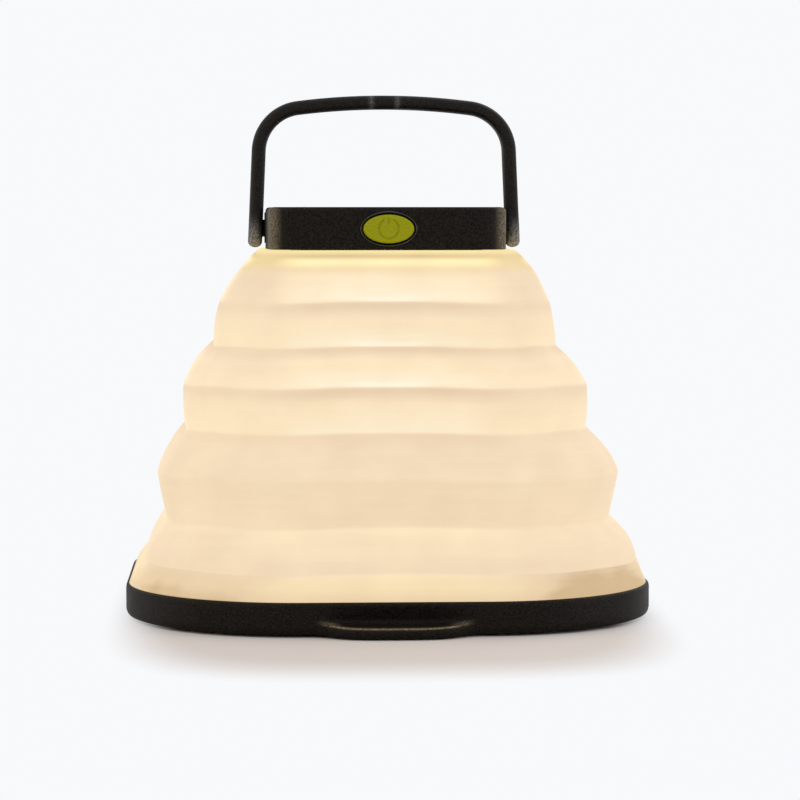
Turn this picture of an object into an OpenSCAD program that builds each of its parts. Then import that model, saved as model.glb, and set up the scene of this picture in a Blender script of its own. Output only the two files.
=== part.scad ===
// Collapsible camping lantern: a pleated silicone shade between a round-cornered base and a small cap.
// Millimetres, +Z up, front towards -Y, origin on the table under the middle of the base.

/* [Base] */
// Width of the base rim, side to side
base_w = 94.2; // [86:0.2:100]
// Height of the rim's top ledge above the table
base_h = 6; // [5:0.1:8]
// Distance from the axis to the centres that all plan corners are struck from
plan_core = 16; // [14:0.5:18]
// Width of the rim's section
rim_section = 7.6; // [6.4:0.1:8]
// Radius of the rim's lower edge
rim_round_low = 1.4; // [0.6:0.1:1.8]
// Radius of the rim's upper edge
rim_round_high = 0.8; // [0.3:0.1:1.2]
// Thickness of the bottom plate
plate_t = 1.6; // [1.2:0.1:2]
// Width of the ledge that the bottom plate sits in
plate_ledge = 4.6; // [4.2:0.1:4.8]
// Side of the square rubber foot
foot_w = 60; // [40:1:70]
// Thickness of the rubber foot
foot_t = 1; // [0.6:0.1:1.2]
// How far the foot stands proud of the bottom plate
foot_proud = 0.4; // [0.2:0.05:0.6]
// Thickness of the white reflector sheet
reflector_t = 0.6; // [0.4:0.1:1.2]

/* [Thumb lip] */
// Width of the lip at the front of the rim
lip_w = 26; // [20:0.5:28]
// How far the lip stands out of the rim
lip_reach = 4; // [2:0.25:6]
// Thickness of the lip
lip_t = 2.1; // [1.5:0.1:2.4]
// Depth of the scoop above the lip
scoop_depth = 2.2; // [1:0.1:3]
// Width of the scoop
scoop_w = 20; // [14:0.5:22]
// Thickness of the rim left over the scoop
scoop_roof = 1; // [0.7:0.1:1.4]

/* [Bellows] */
// Height of the shade, from the rim to the neck
shade_h = 58.6; // [52:0.1:66]
// How far the neck stands out from the cap's side
neck_out = 2.8; // [2:0.1:4]
// How far the shade's foot stays in from the rim's side
skirt_inset = 0.3; // [0.1:0.05:0.6]
// Places of the valleys, from the top, as shares of the way out from neck to foot
valley_out = [0, 0.297, 0.524, 0.699];
// Places of the valleys, from the top, as shares of the way down from neck to foot
valley_down = [0, 0.271, 0.524, 0.797];
// Places of the ridges, from the top, as shares of the way out from neck to foot
ridge_out = [0.249, 0.537, 0.76, 0.904];
// Places of the ridges, from the top, as shares of the way down from neck to foot
ridge_down = [0.138, 0.387, 0.653, 0.925];
// Thickness of the silicone, measured level
wall = 1; // [0.8:0.05:1.3]
// Swell of each panel above a ridge, from the top
upper_swell = [0.2, 0.3, 0.3, 0.5];
// Swell of each panel under a ridge, from the top
lower_swell = [0.65, 0.8, 1.1, 0.1];
// Height of the plain collar at the neck
collar_h = 0.9; // [0.6:0.1:1.5]
// Thickness of the flanges at both ends of the shade
flange_t = 1.1; // [0.8:0.05:1.4]
// Thickness of the ring that clamps the lower flange
clamp_t = 1.8; // [1.2:0.1:2.5]
// Thickness of the ring that clamps the upper flange
neck_ring_t = 1.5; // [1.2:0.1:2]

/* [Cap] */
// Width of the cap
cap_w = 42.2; // [40:0.2:43]
// Depth of the cap
cap_d = 39.2; // [38:0.2:41.2]
// Height of the cap
cap_h = 7.6; // [7.4:0.1:9]
// Radius of the cap's plan corners
cap_corner = 5; // [4:0.25:6]
// Radius of the cap's top edge
cap_round = 0.9; // [0.4:0.1:1.2]
// Wall of the cap
cap_wall = 1.6; // [1.4:0.1:2]
// Thickness of the cap's roof under the solar panel
roof_t = 0.8; // [0.6:0.1:1]
// Thickness of the cap's floor
floor_t = 1.2; // [1:0.1:1.6]

/* [Solar panel] */
// Margin of the cap around the solar panel
solar_margin = 2.4; // [2:0.1:4]
// Thickness of the panel's backing
solar_back_t = 0.4; // [0.3:0.05:0.5]
// Thickness of the cells
cell_t = 0.2; // [0.1:0.05:0.25]
// Thickness of the clear cover
solar_cover_t = 0.4; // [0.3:0.05:0.45]
// Number of cell strips
cell_count = 6; // [4:1:8]
// Gap between cell strips
cell_gap = 0.6; // [0.3:0.1:1]

/* [Handle] */
// Height of the top of the handle over the cap
handle_rise = 20.5; // [19.5:0.1:26]
// Distance from the cap's side to the middle of the handle's foot
handle_out = 2.6; // [2.4:0.1:5]
// Thickness of the handle's strip
strip_t = 2.6; // [2:0.1:3]
// Depth of the handle's strip, front to back
strip_d = 5; // [4:0.25:5.5]
// Radius of the crown's gentle arch
crown_r = 125; // [80:1:200]
// Radius of the handle's corners, at the middle of the strip
corner_r = 8.2; // [6:0.1:10]
// Outward splay of the legs, in degrees
splay = 2.5; // [0:0.5:4]
// Radius of the round foot of each leg
eye_r = 3.6; // [3:0.1:3.7]
// Radius of the pivot peg
peg_r = 1.5; // [1.2:0.05:1.6]
// Radius of the boss that the peg turns in
boss_r = 2.8; // [2.4:0.1:3]
// How far back the handle leans before its legs meet the rest lugs, in degrees
lean_back = 75; // [65:1:76]
// Radius of the rest lugs on the cap's sides
lug_r = 1; // [0.8:0.1:1.2]
// Depth of the hanging saddle at the crown
saddle_depth = 0.7; // [0.3:0.1:1]
// Width of the hanging saddle at the crown
saddle_w = 4.8; // [3:0.1:6]

/* [Button] */
// Width of the oval button
button_w = 9.2; // [8:0.1:10]
// Height of the oval button
button_h = 5.3; // [4.6:0.1:5.5]
// How far the button stands out of the cap
button_proud = 0.4; // [0.2:0.05:0.6]
// Travel of the button
button_travel = 0.8; // [0.5:0.05:1]
// Gap around the button
button_gap = 0.2; // [0.15:0.05:0.3]
// Width of the raised rim around the button
bezel_w = 0.25; // [0.2:0.05:0.4]
// Height of the raised rim around the button
bezel_h = 0.2; // [0.1:0.05:0.3]

/* [Electronics] */
// Width of the control board
board_w = 26; // [24:0.5:27]
// Thickness of the circuit boards
board_t = 0.8; // [0.6:0.1:1]
// Gap from the cap's roof to the control board
board_drop = 0.4; // [0.3:0.05:0.6]
// Margin of the control board at each side of the battery pouch
battery_margin = 3; // [2.5:0.1:5]
// Length of the battery pouch, front to back
battery_l = 19; // [15:0.5:20]
// Thickness of the battery pouch
battery_t = 2.4; // [1.8:0.1:2.5]
// Thickness of the foam tape under the battery
tape_t = 0.4; // [0.3:0.05:0.5]
// Radius of the insulated wires
wire_r = 0.4; // [0.3:0.05:0.5]
// Margin of the round lamp board outside its leads
lamp_margin = 1.6; // [1.2:0.1:2.4]
// Radius of the ring that the lamps sit on
lamp_ring_r = 8.2; // [7.6:0.1:9.4]
// Number of lamps in the ring
lamp_count = 8; // [4:1:10]
// Side of one square lamp
lamp_w = 2.8; // [2:0.1:3]
// Height of one lamp
lamp_h = 0.6; // [0.4:0.05:0.8]
// Distance from the lamp board's edge to the outside of the frosted lens
lens_out = 2.8; // [2.2:0.1:3.2]
// Depth of the frosted lens under the cap's floor
lens_h = 5; // [3.5:0.1:7]
// Wall of the frosted lens
lens_wall = 1.2; // [0.8:0.1:1.4]
// Width of the charging socket
usb_w = 8.9; // [8.4:0.1:9.2]
// Height of the charging socket
usb_h = 3.2; // [2.8:0.1:3.2]
// Length of the charging socket
usb_l = 7.3; // [6:0.1:7.6]
// Wall of the socket's metal shell
usb_wall = 0.3; // [0.2:0.05:0.4]
// Length of the rubber flap over the socket
flap_w = 12.4; // [11.5:0.1:14]
// Height of the rubber flap over the socket
flap_h = 4.6; // [4.2:0.1:4.8]
// Thickness of the rubber flap
flap_t = 1; // [0.8:0.05:1.1]

/* [Screws] */
// Radius of the screws' shanks
screw_r = 1; // [0.8:0.05:1.1]
// Radius of the screws' heads
head_r = 1.8; // [1.6:0.05:2]
// Height of the screws' heads
head_h = 1; // [0.8:0.05:1.1]
// Distance of the base screws from the middle of each side
base_screw_side = 14; // [10:0.5:15]

/* [Hidden] */
$fn = 64;

// Clearances of fixed pieces, a turning peg, a drilled hole, a boss's end and a screw's tip
// The last two are how far cuts run past a face and how far joined shapes overlap
fit = 0.1;
running = 0.05;
drilled = 0.2;
boss_gap = 0.35;
tip_gap = 0.3;
cut = 1;
eps = 0.01;

// Heights, worked up from the table
base_half = base_w / 2;
plate_top = foot_proud + plate_t;
lip_z = foot_proud - fit;
lip_top = lip_z + lip_t;
stages = len(ridge_out);
neck_z = base_h + shade_h;
collar_z = neck_z + collar_h;
cap_z = collar_z + fit;
cap_top = cap_z + cap_h;
floor_top = cap_z + floor_t;
panel_depth = solar_back_t + cell_t + solar_cover_t + fit;
panel_z = cap_top - panel_depth;
ceiling = panel_z - roof_t;
board_top = ceiling - board_drop;
board_z = board_top - board_t;
lamp_board_z = cap_z - board_t;
pivot_z = cap_z + cap_h / 2;
button_z = pivot_z - fit;
handle_top = cap_top + handle_rise;

// Plan sizes
cap_half = cap_w / 2;
handle_half = cap_half + handle_out;
battery_w = board_w - 2 * battery_margin;
wire_side = 1.6;
led_wire_x = battery_w / 2 + wire_side;
lamp_r = led_wire_x + lamp_margin;
lens_r = lamp_r + lens_out;
rim_inner = base_half - rim_section;
plate_half = rim_inner + plate_ledge;
lip_root = plate_half + 5 * fit;
lip_steps = 14;
foot_half = foot_w / 2;
foot_corner = foot_w / 6;
skirt_half = base_half - skirt_inset;
lower_flange_half = rim_inner + fit;
neck_half = cap_half + neck_out;
shade_out = skirt_half - neck_half;
clamp_half = ridge(stages - 1)[0] - wall - fit;
base_screw_half = rim_inner + plate_ledge / 2;
clamp_skin = 0.4;
clamp_hole = base_h + flange_t + clamp_t - clamp_skin;
cap_half_d = cap_d / 2;
cap_core_x = cap_half - cap_corner;
cap_core_y = cap_half_d - cap_corner;
inner_half = cap_half - cap_wall;
inner_half_d = cap_half_d - cap_wall;
post_wall = 1.2;
post_skin = 0.8;
post_r = screw_r + post_wall;
lens_brim = 1;
lens_seat_r = lens_r + lens_brim;
neck_hole_r = lens_r + drilled;
flange_hole_r = lens_seat_r + drilled;
neck_ring_z = collar_z - flange_t - neck_ring_t;
neck_ring_half = neck_half - wall - tip_gap;
panel_half = cap_half - solar_margin;
panel_half_d = cap_half_d - solar_margin;
panel_corner = cap_corner - solar_margin;

// Arch of the handle: its crown's centre, the centres of its corners and the length of its legs
// Crown and legs run a little way into the corners and are a hair thinner, so that all join as one solid
strip_top = handle_top - strip_t / 2;
crown_z = strip_top - crown_r;
leg_x = handle_half - (strip_top - corner_r - pivot_z) * tan(splay);
crown_turn = asin((leg_x - corner_r) / (crown_r - corner_r));
bend_x = (crown_r - corner_r) * sin(crown_turn);
bend_z = crown_z + (crown_r - corner_r) * cos(crown_turn);
leg_l = (bend_z + corner_r * sin(splay) - pivot_z) / cos(splay);
join_l = 0.4;
join_step = 0.03;
join_turn = crown_turn + join_l / crown_r * 180 / PI;

// Rest lugs for the handle's legs, set off the leaning leg's lower edge by a clearance
lug_out = handle_out - strip_t / 4;
lug_y = 0.6 * cap_half_d;
lug_z = pivot_z + (lug_y * cos(lean_back) - strip_d / 2 - lug_r - tip_gap) / sin(lean_back);

// Places inside the cap
switch_room = 4.3;
board_inset = 1;
board_front = -inner_half_d + switch_room;
board_back = inner_half_d - board_inset;
battery_z = floor_top + tape_t;
stake_inset = 2;
stake_r = 1.4;
pin_r = 0.7;
pin_out = 0.4;
stake_x = board_w / 2 - stake_inset;
stake_front = board_front + stake_inset;
stake_back = board_back - usb_l - stake_inset;
ear_out = 1.4;
ear_half = button_w / 2 + ear_out;
ear_h = 3.8;
ear_t = 0.75;
ear_front = -inner_half_d + running;
stem_half = button_w / 3;
switch_w = 6.2;
switch_l = 3.5;
switch_h = 2.8;
switch_front = board_front + drilled;
plunger_r = 1;
plunger_z = board_z - switch_h / 2;
plunger_reach = 0.8;
usb_z = board_z - usb_h;
usb_back = inner_half_d - fit;
flap_z = usb_z + usb_h / 2;
bead_r = flap_t / 2 - running / 2;
bead_x = flap_w / 2;
bead_y = cap_half_d - flap_t / 2;
wire_spread = 1.5;
wire_bend = 3 * wire_r;
tape_inset = 1.5;
tongue_inset = 0.6;
tongue_w = 0.7 * usb_w;
tongue_t = 0.7;

// Points along a panel of the bellows from a to b, swelling sideways by s
panel_steps = 6;
function panel(a, b, s) =
    let (d = b - a, side = [-d[1], d[0]] / norm(d))
    [for (i = [0 : panel_steps - 1]) let (t = i / panel_steps) a + d * t + side * 4 * s * t * (1 - t)];

// Corners of the pleats, as [half width, height]
function fold(out, down) = [neck_half + out * shade_out, neck_z - down * shade_h];
function valley(k) = k < stages ? fold(valley_out[k], valley_down[k]) : [skirt_half, base_h];
function ridge(k) = fold(ridge_out[k], ridge_down[k]);
function pleats(in) = [
    for (k = [0 : stages - 1])
        each concat(panel(valley(k) - [in, 0], ridge(k) - [in, 0], upper_swell[k]),
                    panel(ridge(k) - [in, 0], valley(k + 1) - [in, 0], lower_swell[k]))
];

// Quarter round from angle a to b about a centre
function quarter(c, r, a, b) = [for (i = [0 : 6]) let (t = a + (b - a) * i / 6) c + r * [cos(t), sin(t)]];
function reversed(list) = [for (i = [len(list) - 1 : -1 : 0]) list[i]];
function oval(a, b) = [for (i = [0 : 59]) [a * cos(6 * i), b * sin(6 * i)]];

// Rectangle with round corners
module round_rect(half_x, half_y, r) {
    square([2 * half_x, 2 * (half_y - r)], center = true);
    square([2 * (half_x - r), 2 * half_y], center = true);
    for (x = [-1, 1], y = [-1, 1])
        translate([x * (half_x - r), y * (half_y - r)]) circle(r);
}

// Square of the shade's family, with corners struck from the plan core
module plan_square(half) {
    round_rect(half, half, half - plan_core);
}

module slab(z, t) {
    translate([0, 0, z]) linear_extrude(t) children();
}

// Carries a section round a rectangle, turning about each of its corners
module swept(core_x, core_y) {
    for (x = [0, 1], y = [0, 1])
        mirror([x, 0, 0]) mirror([0, y, 0])
            translate([core_x, core_y, 0]) rotate_extrude(angle = 90) children();
    for (x = [0, 1])
        mirror([x, 0, 0]) translate([core_x, core_y, 0])
            rotate([90, 0, 0]) linear_extrude(2 * core_y) children();
    for (y = [0, 1])
        mirror([0, y, 0]) translate([-core_x, core_y, 0])
            rotate([90, 0, 90]) linear_extrude(2 * core_x) children();
}

module at_base_screws() {
    for (turn = [0 : 90 : 270], side = [-1, 1])
        rotate(turn) translate([base_screw_half, side * base_screw_side, 0]) children();
}

module at_cap_screws() {
    for (x = [-1, 1], y = [-1, 1])
        translate([x * cap_core_x, y * cap_core_y, 0]) children();
}

// Ring of the base: round edges, a ledge under it for the bottom plate
module rim_section_profile() {
    translate([-plan_core, 0])
        polygon(concat(
            [[plate_half + fit, foot_proud]],
            quarter([base_half - rim_round_low, foot_proud + rim_round_low], rim_round_low, -90, 0),
            quarter([base_half - rim_round_high, base_h - rim_round_high], rim_round_high, 0, 90),
            [[rim_inner, base_h], [rim_inner, plate_top + eps], [plate_half + fit, plate_top + eps]]));
}

// Lip in plan: a smooth swell of the rim's front edge
module lip_plan() {
    half = lip_w / 2;
    swell = [
        for (i = [0 : 2 * lip_steps])
            let (u = i / lip_steps - 1, out = lip_reach * pow(1 - pow(u, 4), 2)) [u * half, -base_half - out]
    ];
    polygon(concat([[-half, -lip_root]], swell, [[half, -lip_root]]));
}

module base_rim() {
    scoop_r = (pow(scoop_w / 2, 2) + pow(scoop_depth, 2)) / (2 * scoop_depth);
    color("#201e1c") difference() {
        union() {
            swept(plan_core, plan_core) rim_section_profile();
            slab(lip_z, lip_t) lip_plan();
        }
        translate([0, -base_half - scoop_r + scoop_depth, lip_top])
            cylinder(r = scoop_r, h = base_h - scoop_roof - lip_top, $fn = 128);
        at_base_screws() cylinder(r = screw_r + drilled, h = base_h + cut);
    }
}

module base_plate() {
    color("#262422") difference() {
        slab(foot_proud, plate_t) plan_square(plate_half);
        slab(0, foot_t + eps) round_rect(foot_half + fit, foot_half + fit, foot_corner);
        at_base_screws() {
            cylinder(r = screw_r + drilled, h = plate_top + cut);
            cylinder(r = head_r + drilled, h = foot_proud + head_h);
        }
    }
}

module base_screws() {
    color("silver") at_base_screws() {
        translate([0, 0, foot_proud + running]) cylinder(r = head_r, h = head_h - running);
        translate([0, 0, foot_proud + head_h - eps])
            cylinder(r = screw_r, h = clamp_hole - tip_gap - foot_proud - head_h);
    }
}

module foot_pad() {
    color("#2b2b2b") slab(0, foot_t) round_rect(foot_half, foot_half, foot_corner);
}

module reflector_plate() {
    color("white") slab(plate_top, reflector_t) plan_square(rim_inner - drilled);
}

module clamp_ring() {
    color("whitesmoke") difference() {
        slab(base_h + flange_t, clamp_t) difference() {
            plan_square(clamp_half);
            plan_square(rim_inner);
        }
        at_base_screws() cylinder(r = screw_r + running, h = clamp_hole);
    }
}

// Pleated shade: one thin section carried round the plan, with a flange at each end
module bellows() {
    inner_pleats = [for (p = pleats(wall)) if (p[1] > base_h + flange_t && p[1] < collar_z - flange_t) p];
    foot_wall = skirt_half - wall - drilled;
    color("#f4ddb8") difference() {
        union() {
            swept(plan_core, plan_core) translate([-plan_core, 0])
                polygon(concat(
                    [[neck_half - wall, collar_z], [neck_half, collar_z]],
                    pleats(0),
                    [[skirt_half, base_h], [lower_flange_half, base_h]],
                    [[lower_flange_half, base_h + flange_t], [foot_wall, base_h + flange_t]],
                    reversed(inner_pleats)));
            slab(collar_z - flange_t, flange_t) difference() {
                plan_square(neck_half - wall / 2);
                circle(flange_hole_r);
            }
        }
        at_base_screws() cylinder(r = screw_r + drilled, h = base_h + 2 * flange_t);
        at_cap_screws() translate([0, 0, neck_z - 2 * flange_t])
            cylinder(r = screw_r + drilled, h = 4 * flange_t);
    }
}

module neck_ring() {
    color("whitesmoke") difference() {
        slab(neck_ring_z, neck_ring_t) difference() {
            plan_square(neck_ring_half);
            circle(neck_hole_r);
        }
        at_cap_screws() translate([0, 0, neck_ring_z - cut])
            cylinder(r = screw_r + drilled, h = neck_ring_t + 2 * cut);
    }
}

// Outside of the cap: a round-edged block on the rounded rectangle
module cap_block() {
    swept(cap_core_x, cap_core_y)
        polygon(concat(
            [[0, cap_z], [cap_corner, cap_z]],
            quarter([cap_corner - cap_round, cap_top - cap_round], cap_round, 0, 90),
            [[0, cap_top]]));
    translate([-cap_core_x, -cap_core_y, cap_z]) cube([2 * cap_core_x, 2 * cap_core_y, cap_h]);
}

module button_shape(grow) {
    polygon(oval(button_w / 2 + grow, button_h / 2 + grow));
}

// Puts a shape drawn upright on the cap's front, from depth y inward
module on_front(y, t) {
    translate([0, y + t, button_z]) rotate([90, 0, 0]) linear_extrude(t) children();
}

module flap_recess() {
    room = fit / 2;
    translate([-flap_w / 2 - room, cap_half_d - flap_t - room, flap_z - flap_h / 2 - room])
        cube([flap_w + room, flap_t + cut, flap_h + 2 * room]);
    translate([bead_x, bead_y, flap_z - flap_h / 2 - room]) {
        cylinder(r = bead_r + running, h = flap_h + 2 * room);
        cube([bead_r + running, flap_t + cut, flap_h + 2 * room]);
    }
}

module cap_housing() {
    color("#1f1c1a") difference() {
        union() {
            difference() {
                cap_block();
                slab(cap_z - cut, ceiling - cap_z + cut)
                    round_rect(inner_half, inner_half_d, cap_corner - cap_wall);
            }
            at_cap_screws() translate([0, 0, floor_top]) cylinder(r = post_r, h = ceiling - floor_top + eps);
            for (x = [-1, 1], y = [stake_front, stake_back])
                translate([x * stake_x, y, 0]) {
                    translate([0, 0, board_top]) cylinder(r = stake_r, h = board_drop + eps);
                    translate([0, 0, board_z - pin_out]) cylinder(r = pin_r, h = board_t + pin_out + eps);
                }
            for (x = [0, 1])
                mirror([x, 0, 0]) translate([cap_half - cap_wall, 0, pivot_z]) rotate([0, 90, 0])
                    cylinder(r = boss_r, h = handle_half - strip_t / 2 - boss_gap - cap_half + cap_wall);
            for (x = [0, 1])
                mirror([x, 0, 0]) translate([cap_half - cap_wall / 2, lug_y, lug_z]) rotate([0, 90, 0])
                    cylinder(r = lug_r, h = lug_out + cap_wall / 2);
            on_front(-cap_half_d - bezel_h, cap_wall / 2) button_shape(button_gap + bezel_w);
        }
        slab(panel_z, panel_depth + cut)
            round_rect(panel_half + fit, panel_half_d + fit, panel_corner + fit);
        on_front(-cap_half_d - cut, cap_wall + cut + eps) button_shape(button_gap);
        translate([-handle_half, 0, pivot_z]) rotate([0, 90, 0])
            cylinder(r = peg_r + running, h = 2 * handle_half);
        flap_recess();
        translate([0, cap_half_d, flap_z])
            cube([usb_w + 2 * drilled, 3 * cap_wall, usb_h + 2 * drilled], center = true);
        at_cap_screws() translate([0, 0, cap_z])
            cylinder(r = screw_r + running, h = ceiling - cap_z - post_skin);
    }
}

module cap_floor() {
    color("#2a2826") difference() {
        slab(cap_z, floor_t)
            round_rect(inner_half - drilled, inner_half_d - drilled, cap_corner - cap_wall - drilled);
        at_cap_screws() translate([0, 0, cap_z - cut]) cylinder(r = screw_r + drilled, h = floor_t + 2 * cut);
        for (y = [-1, 1])
            translate([-led_wire_x, y * wire_spread, cap_z - cut])
                cylinder(r = wire_r + drilled, h = floor_t + 2 * cut);
    }
}

module cap_screws() {
    color("silver") at_cap_screws() {
        translate([0, 0, neck_ring_z - head_h]) cylinder(r = head_r, h = head_h);
        translate([0, 0, neck_ring_z - eps])
            cylinder(r = screw_r, h = ceiling - post_skin - tip_gap - neck_ring_z);
    }
}

module solar_board() {
    color("#1b2333") slab(panel_z, solar_back_t) round_rect(panel_half, panel_half_d, panel_corner);
}

module solar_cells() {
    pitch = (2 * panel_half_d - cell_gap) / cell_count;
    length = 2 * (panel_half - panel_corner);
    color("#141a3c") for (i = [0 : cell_count - 1])
        translate([-length / 2, -panel_half_d + cell_gap + i * pitch, panel_z + solar_back_t])
            cube([length, pitch - cell_gap, cell_t]);
}

module solar_cover() {
    color("#303848") slab(panel_z + solar_back_t + cell_t, solar_cover_t)
        round_rect(panel_half, panel_half_d, panel_corner);
}

module control_board() {
    color("darkgreen") difference() {
        translate([-board_w / 2, board_front, board_z]) cube([board_w, board_back - board_front, board_t]);
        for (x = [-1, 1], y = [stake_front, stake_back])
            translate([x * stake_x, y, board_z - cut]) cylinder(r = pin_r + running, h = board_t + 2 * cut);
    }
}

module battery() {
    color("#c9ccd0") slab(battery_z, battery_t) round_rect(battery_w / 2, battery_l / 2, battery_t / 2);
}

module battery_tape() {
    color("#3a3a3a") slab(floor_top, tape_t)
        square([battery_w - 2 * tape_inset, battery_l - 2 * tape_inset], center = true);
}

module battery_wires() {
    z = battery_z + battery_t / 2;
    colours = ["firebrick", "#222222"];
    for (i = [0, 1])
        color(colours[i]) translate([battery_w / 2, (2 * i - 1) * wire_spread, z + wire_bend]) {
            rotate([90, 0, 0]) rotate_extrude(angle = 90, start = 270)
                translate([wire_bend, 0]) circle(wire_r);
            translate([wire_bend, 0, 0]) cylinder(r = wire_r, h = board_z - z - wire_bend);
        }
}

module led_board() {
    color("whitesmoke") difference() {
        slab(lamp_board_z, board_t) circle(lamp_r);
        for (y = [-1, 1])
            translate([-led_wire_x, y * wire_spread, lamp_board_z - cut])
                cylinder(r = wire_r + running, h = board_t + 2 * cut);
    }
}

module leds() {
    color("#ffe9a8") for (i = [0 : lamp_count - 1])
        rotate((i + 0.5) * 360 / lamp_count)
            translate([lamp_ring_r, 0, lamp_board_z - lamp_h / 2])
                cube([lamp_w, lamp_w, lamp_h], center = true);
}

module led_wires() {
    colours = ["firebrick", "#222222"];
    for (i = [0, 1])
        color(colours[i]) translate([-led_wire_x, (2 * i - 1) * wire_spread, lamp_board_z])
            cylinder(r = wire_r, h = board_z - lamp_board_z);
}

// Frosted cup over the lamps, held by its brim between the floor and the neck ring
module led_lens() {
    bottom = collar_z - lens_h;
    round_r = 2.5;
    outer = concat([[0, bottom]], quarter([lens_r - round_r, bottom + round_r], round_r, -90, 0));
    brim_z = neck_ring_z + neck_ring_t;
    color("#f3efe4") rotate_extrude($fn = 96)
        polygon(concat(
            outer,
            [[lens_r, brim_z], [lens_seat_r, brim_z]],
            [[lens_seat_r, collar_z], [lens_r - lens_wall, collar_z]],
            reversed(quarter([lens_r - round_r, bottom + round_r], round_r - lens_wall, -90, 0)),
            [[0, bottom + lens_wall]]));
}

module switch_body() {
    color("#444444") difference() {
        translate([-switch_w / 2, switch_front, board_z - switch_h]) cube([switch_w, switch_l, switch_h]);
        translate([0, switch_front - cut, plunger_z]) rotate([-90, 0, 0])
            cylinder(r = plunger_r + running, h = cut + plunger_reach + button_travel + drilled);
    }
}

module usb_socket() {
    module shell_plan(grow) {
        round_rect(usb_w / 2 + grow, usb_h / 2 + grow, usb_h / 2 + grow - eps);
    }
    color("silver") translate([0, usb_back, flap_z]) rotate([90, 0, 0]) {
        difference() {
            linear_extrude(usb_l) shell_plan(0);
            translate([0, 0, -cut]) linear_extrude(usb_l) shell_plan(-usb_wall);
        }
        translate([0, 0, tongue_inset]) linear_extrude(usb_l - tongue_inset - drilled)
            square([tongue_w, tongue_t], center = true);
    }
}

// Section of the handle's strip, with full-round edges, thinned all round by a step
module strip_section(step) {
    reach = (strip_d - strip_t) / 2;
    edge_r = strip_t / 2 - step;
    polygon([
        for (i = [0 : 15]) let (a = 180 * i / 15) [0, reach] + edge_r * [cos(a), sin(a)],
        for (i = [0 : 15]) let (a = 180 + 180 * i / 15) [0, -reach] + edge_r * [cos(a), sin(a)]
    ]);
}

// Gentle arch between the handle's corners
module handle_crown() {
    translate([0, 0, crown_z]) rotate([90, 0, 0])
        rotate_extrude(angle = 2 * join_turn, start = 90 - join_turn, $fn = 256)
            translate([crown_r, 0]) strip_section(join_step);
}

// One side of the handle, from the crown's end to the round foot and its peg
module handle_side() {
    eye_t = strip_t + fit;
    eye_round = 1;
    translate([bend_x, 0, bend_z]) rotate([90, 0, 0]) {
        rotate_extrude(angle = 90 - crown_turn - splay, start = splay)
            translate([corner_r, 0]) strip_section(0);
        rotate(splay) translate([corner_r, join_l, 0]) rotate([90, 0, 0])
            linear_extrude(leg_l + join_l) strip_section(join_step);
    }
    translate([handle_half, 0, pivot_z]) rotate([0, 90, 0])
        rotate_extrude()
            polygon(concat(
                [[0, -eye_t / 2]],
                quarter([eye_r - eye_round, eye_round - eye_t / 2], eye_round, -90, 0),
                quarter([eye_r - eye_round, eye_t / 2 - eye_round], eye_round, 0, 90),
                [[0, eye_t / 2]]));
    head_l = 1.1;
    snap_in = 0.2;
    snap_out = 0.25;
    peg_end = inner_half - running - head_l;
    translate([peg_end, 0, pivot_z]) rotate([0, 90, 0]) {
        cylinder(r = peg_r, h = handle_half - peg_end);
        cylinder(r1 = peg_r - snap_in, r2 = peg_r + snap_out, h = head_l);
    }
}

module handle() {
    saddle_r = (pow(saddle_w / 2, 2) + pow(saddle_depth, 2)) / (2 * saddle_depth);
    color("#211f1d") difference() {
        union() {
            handle_crown();
            for (x = [0, 1])
                mirror([x, 0, 0]) handle_side();
        }
        for (y = [-1, 1])
            translate([0, y * (strip_d / 2 + saddle_r - saddle_depth), handle_top - 2 * strip_t])
                cylinder(r = saddle_r, h = 3 * strip_t);
    }
}

module power_button() {
    front = -cap_half_d - button_proud;
    oval_back = -inner_half_d - button_travel;
    bevel = 0.35;
    color("#929a1a") {
        hull() {
            on_front(front, eps) button_shape(-bevel);
            on_front(front + bevel, eps) button_shape(0);
        }
        on_front(front + bevel, oval_back - front - bevel) button_shape(0);
        translate([-stem_half, oval_back - eps, button_z - ear_h / 2])
            cube([2 * stem_half, ear_front - oval_back + 2 * eps, ear_h]);
        translate([-ear_half, ear_front, button_z - ear_h / 2]) cube([2 * ear_half, ear_t, ear_h]);
    }
}

module switch_plunger() {
    color("black") translate([0, ear_front + ear_t, plunger_z]) rotate([-90, 0, 0])
        cylinder(r = plunger_r, h = switch_front + plunger_reach - ear_front - ear_t);
}

// Rubber flap over the charging socket, turning on a round bead at one end
module usb_cover() {
    nib = 1;
    nib_out = 0.5;
    color("#2c2a28") {
        difference() {
            translate([-flap_w / 2, cap_half_d - flap_t + running / 2, flap_z - flap_h / 2])
                cube([flap_w, 2 * bead_r, flap_h]);
            translate([bead_x, bead_y - flap_t, flap_z - flap_h / 2 - cut])
                cube([flap_t, 2 * flap_t, flap_h + 2 * cut]);
        }
        translate([bead_x, bead_y, flap_z - flap_h / 2]) cylinder(r = bead_r, h = flap_h);
        translate([-flap_w / 2, cap_half_d - running, flap_z - flap_h / 4]) cube([nib, nib_out, flap_h / 2]);
    }
}

base_rim();
base_plate();
base_screws();
foot_pad();
reflector_plate();
clamp_ring();
bellows();
neck_ring();
cap_housing();
cap_floor();
cap_screws();
solar_board();
solar_cells();
solar_cover();
control_board();
battery();
battery_tape();
battery_wires();
led_board();
leds();
led_wires();
led_lens();
switch_body();
usb_socket();
handle();
power_button();
switch_plunger();
usb_cover();
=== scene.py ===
# %% [markdown]
# # A collapsible camping lantern
# The lantern stands on a flat black base. A pleated silicone shade rises from it to a small black cap
# with a push button, and a thin handle stands over the cap. The working solids come from the packed
# frame, in metres, with +Z up and the front towards -Y. This lesson gives them their looks: it keeps
# the solids whose shape is right and makes finer meshes for the pieces that the eye rests on.

# %% Load the frame
import math

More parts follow.
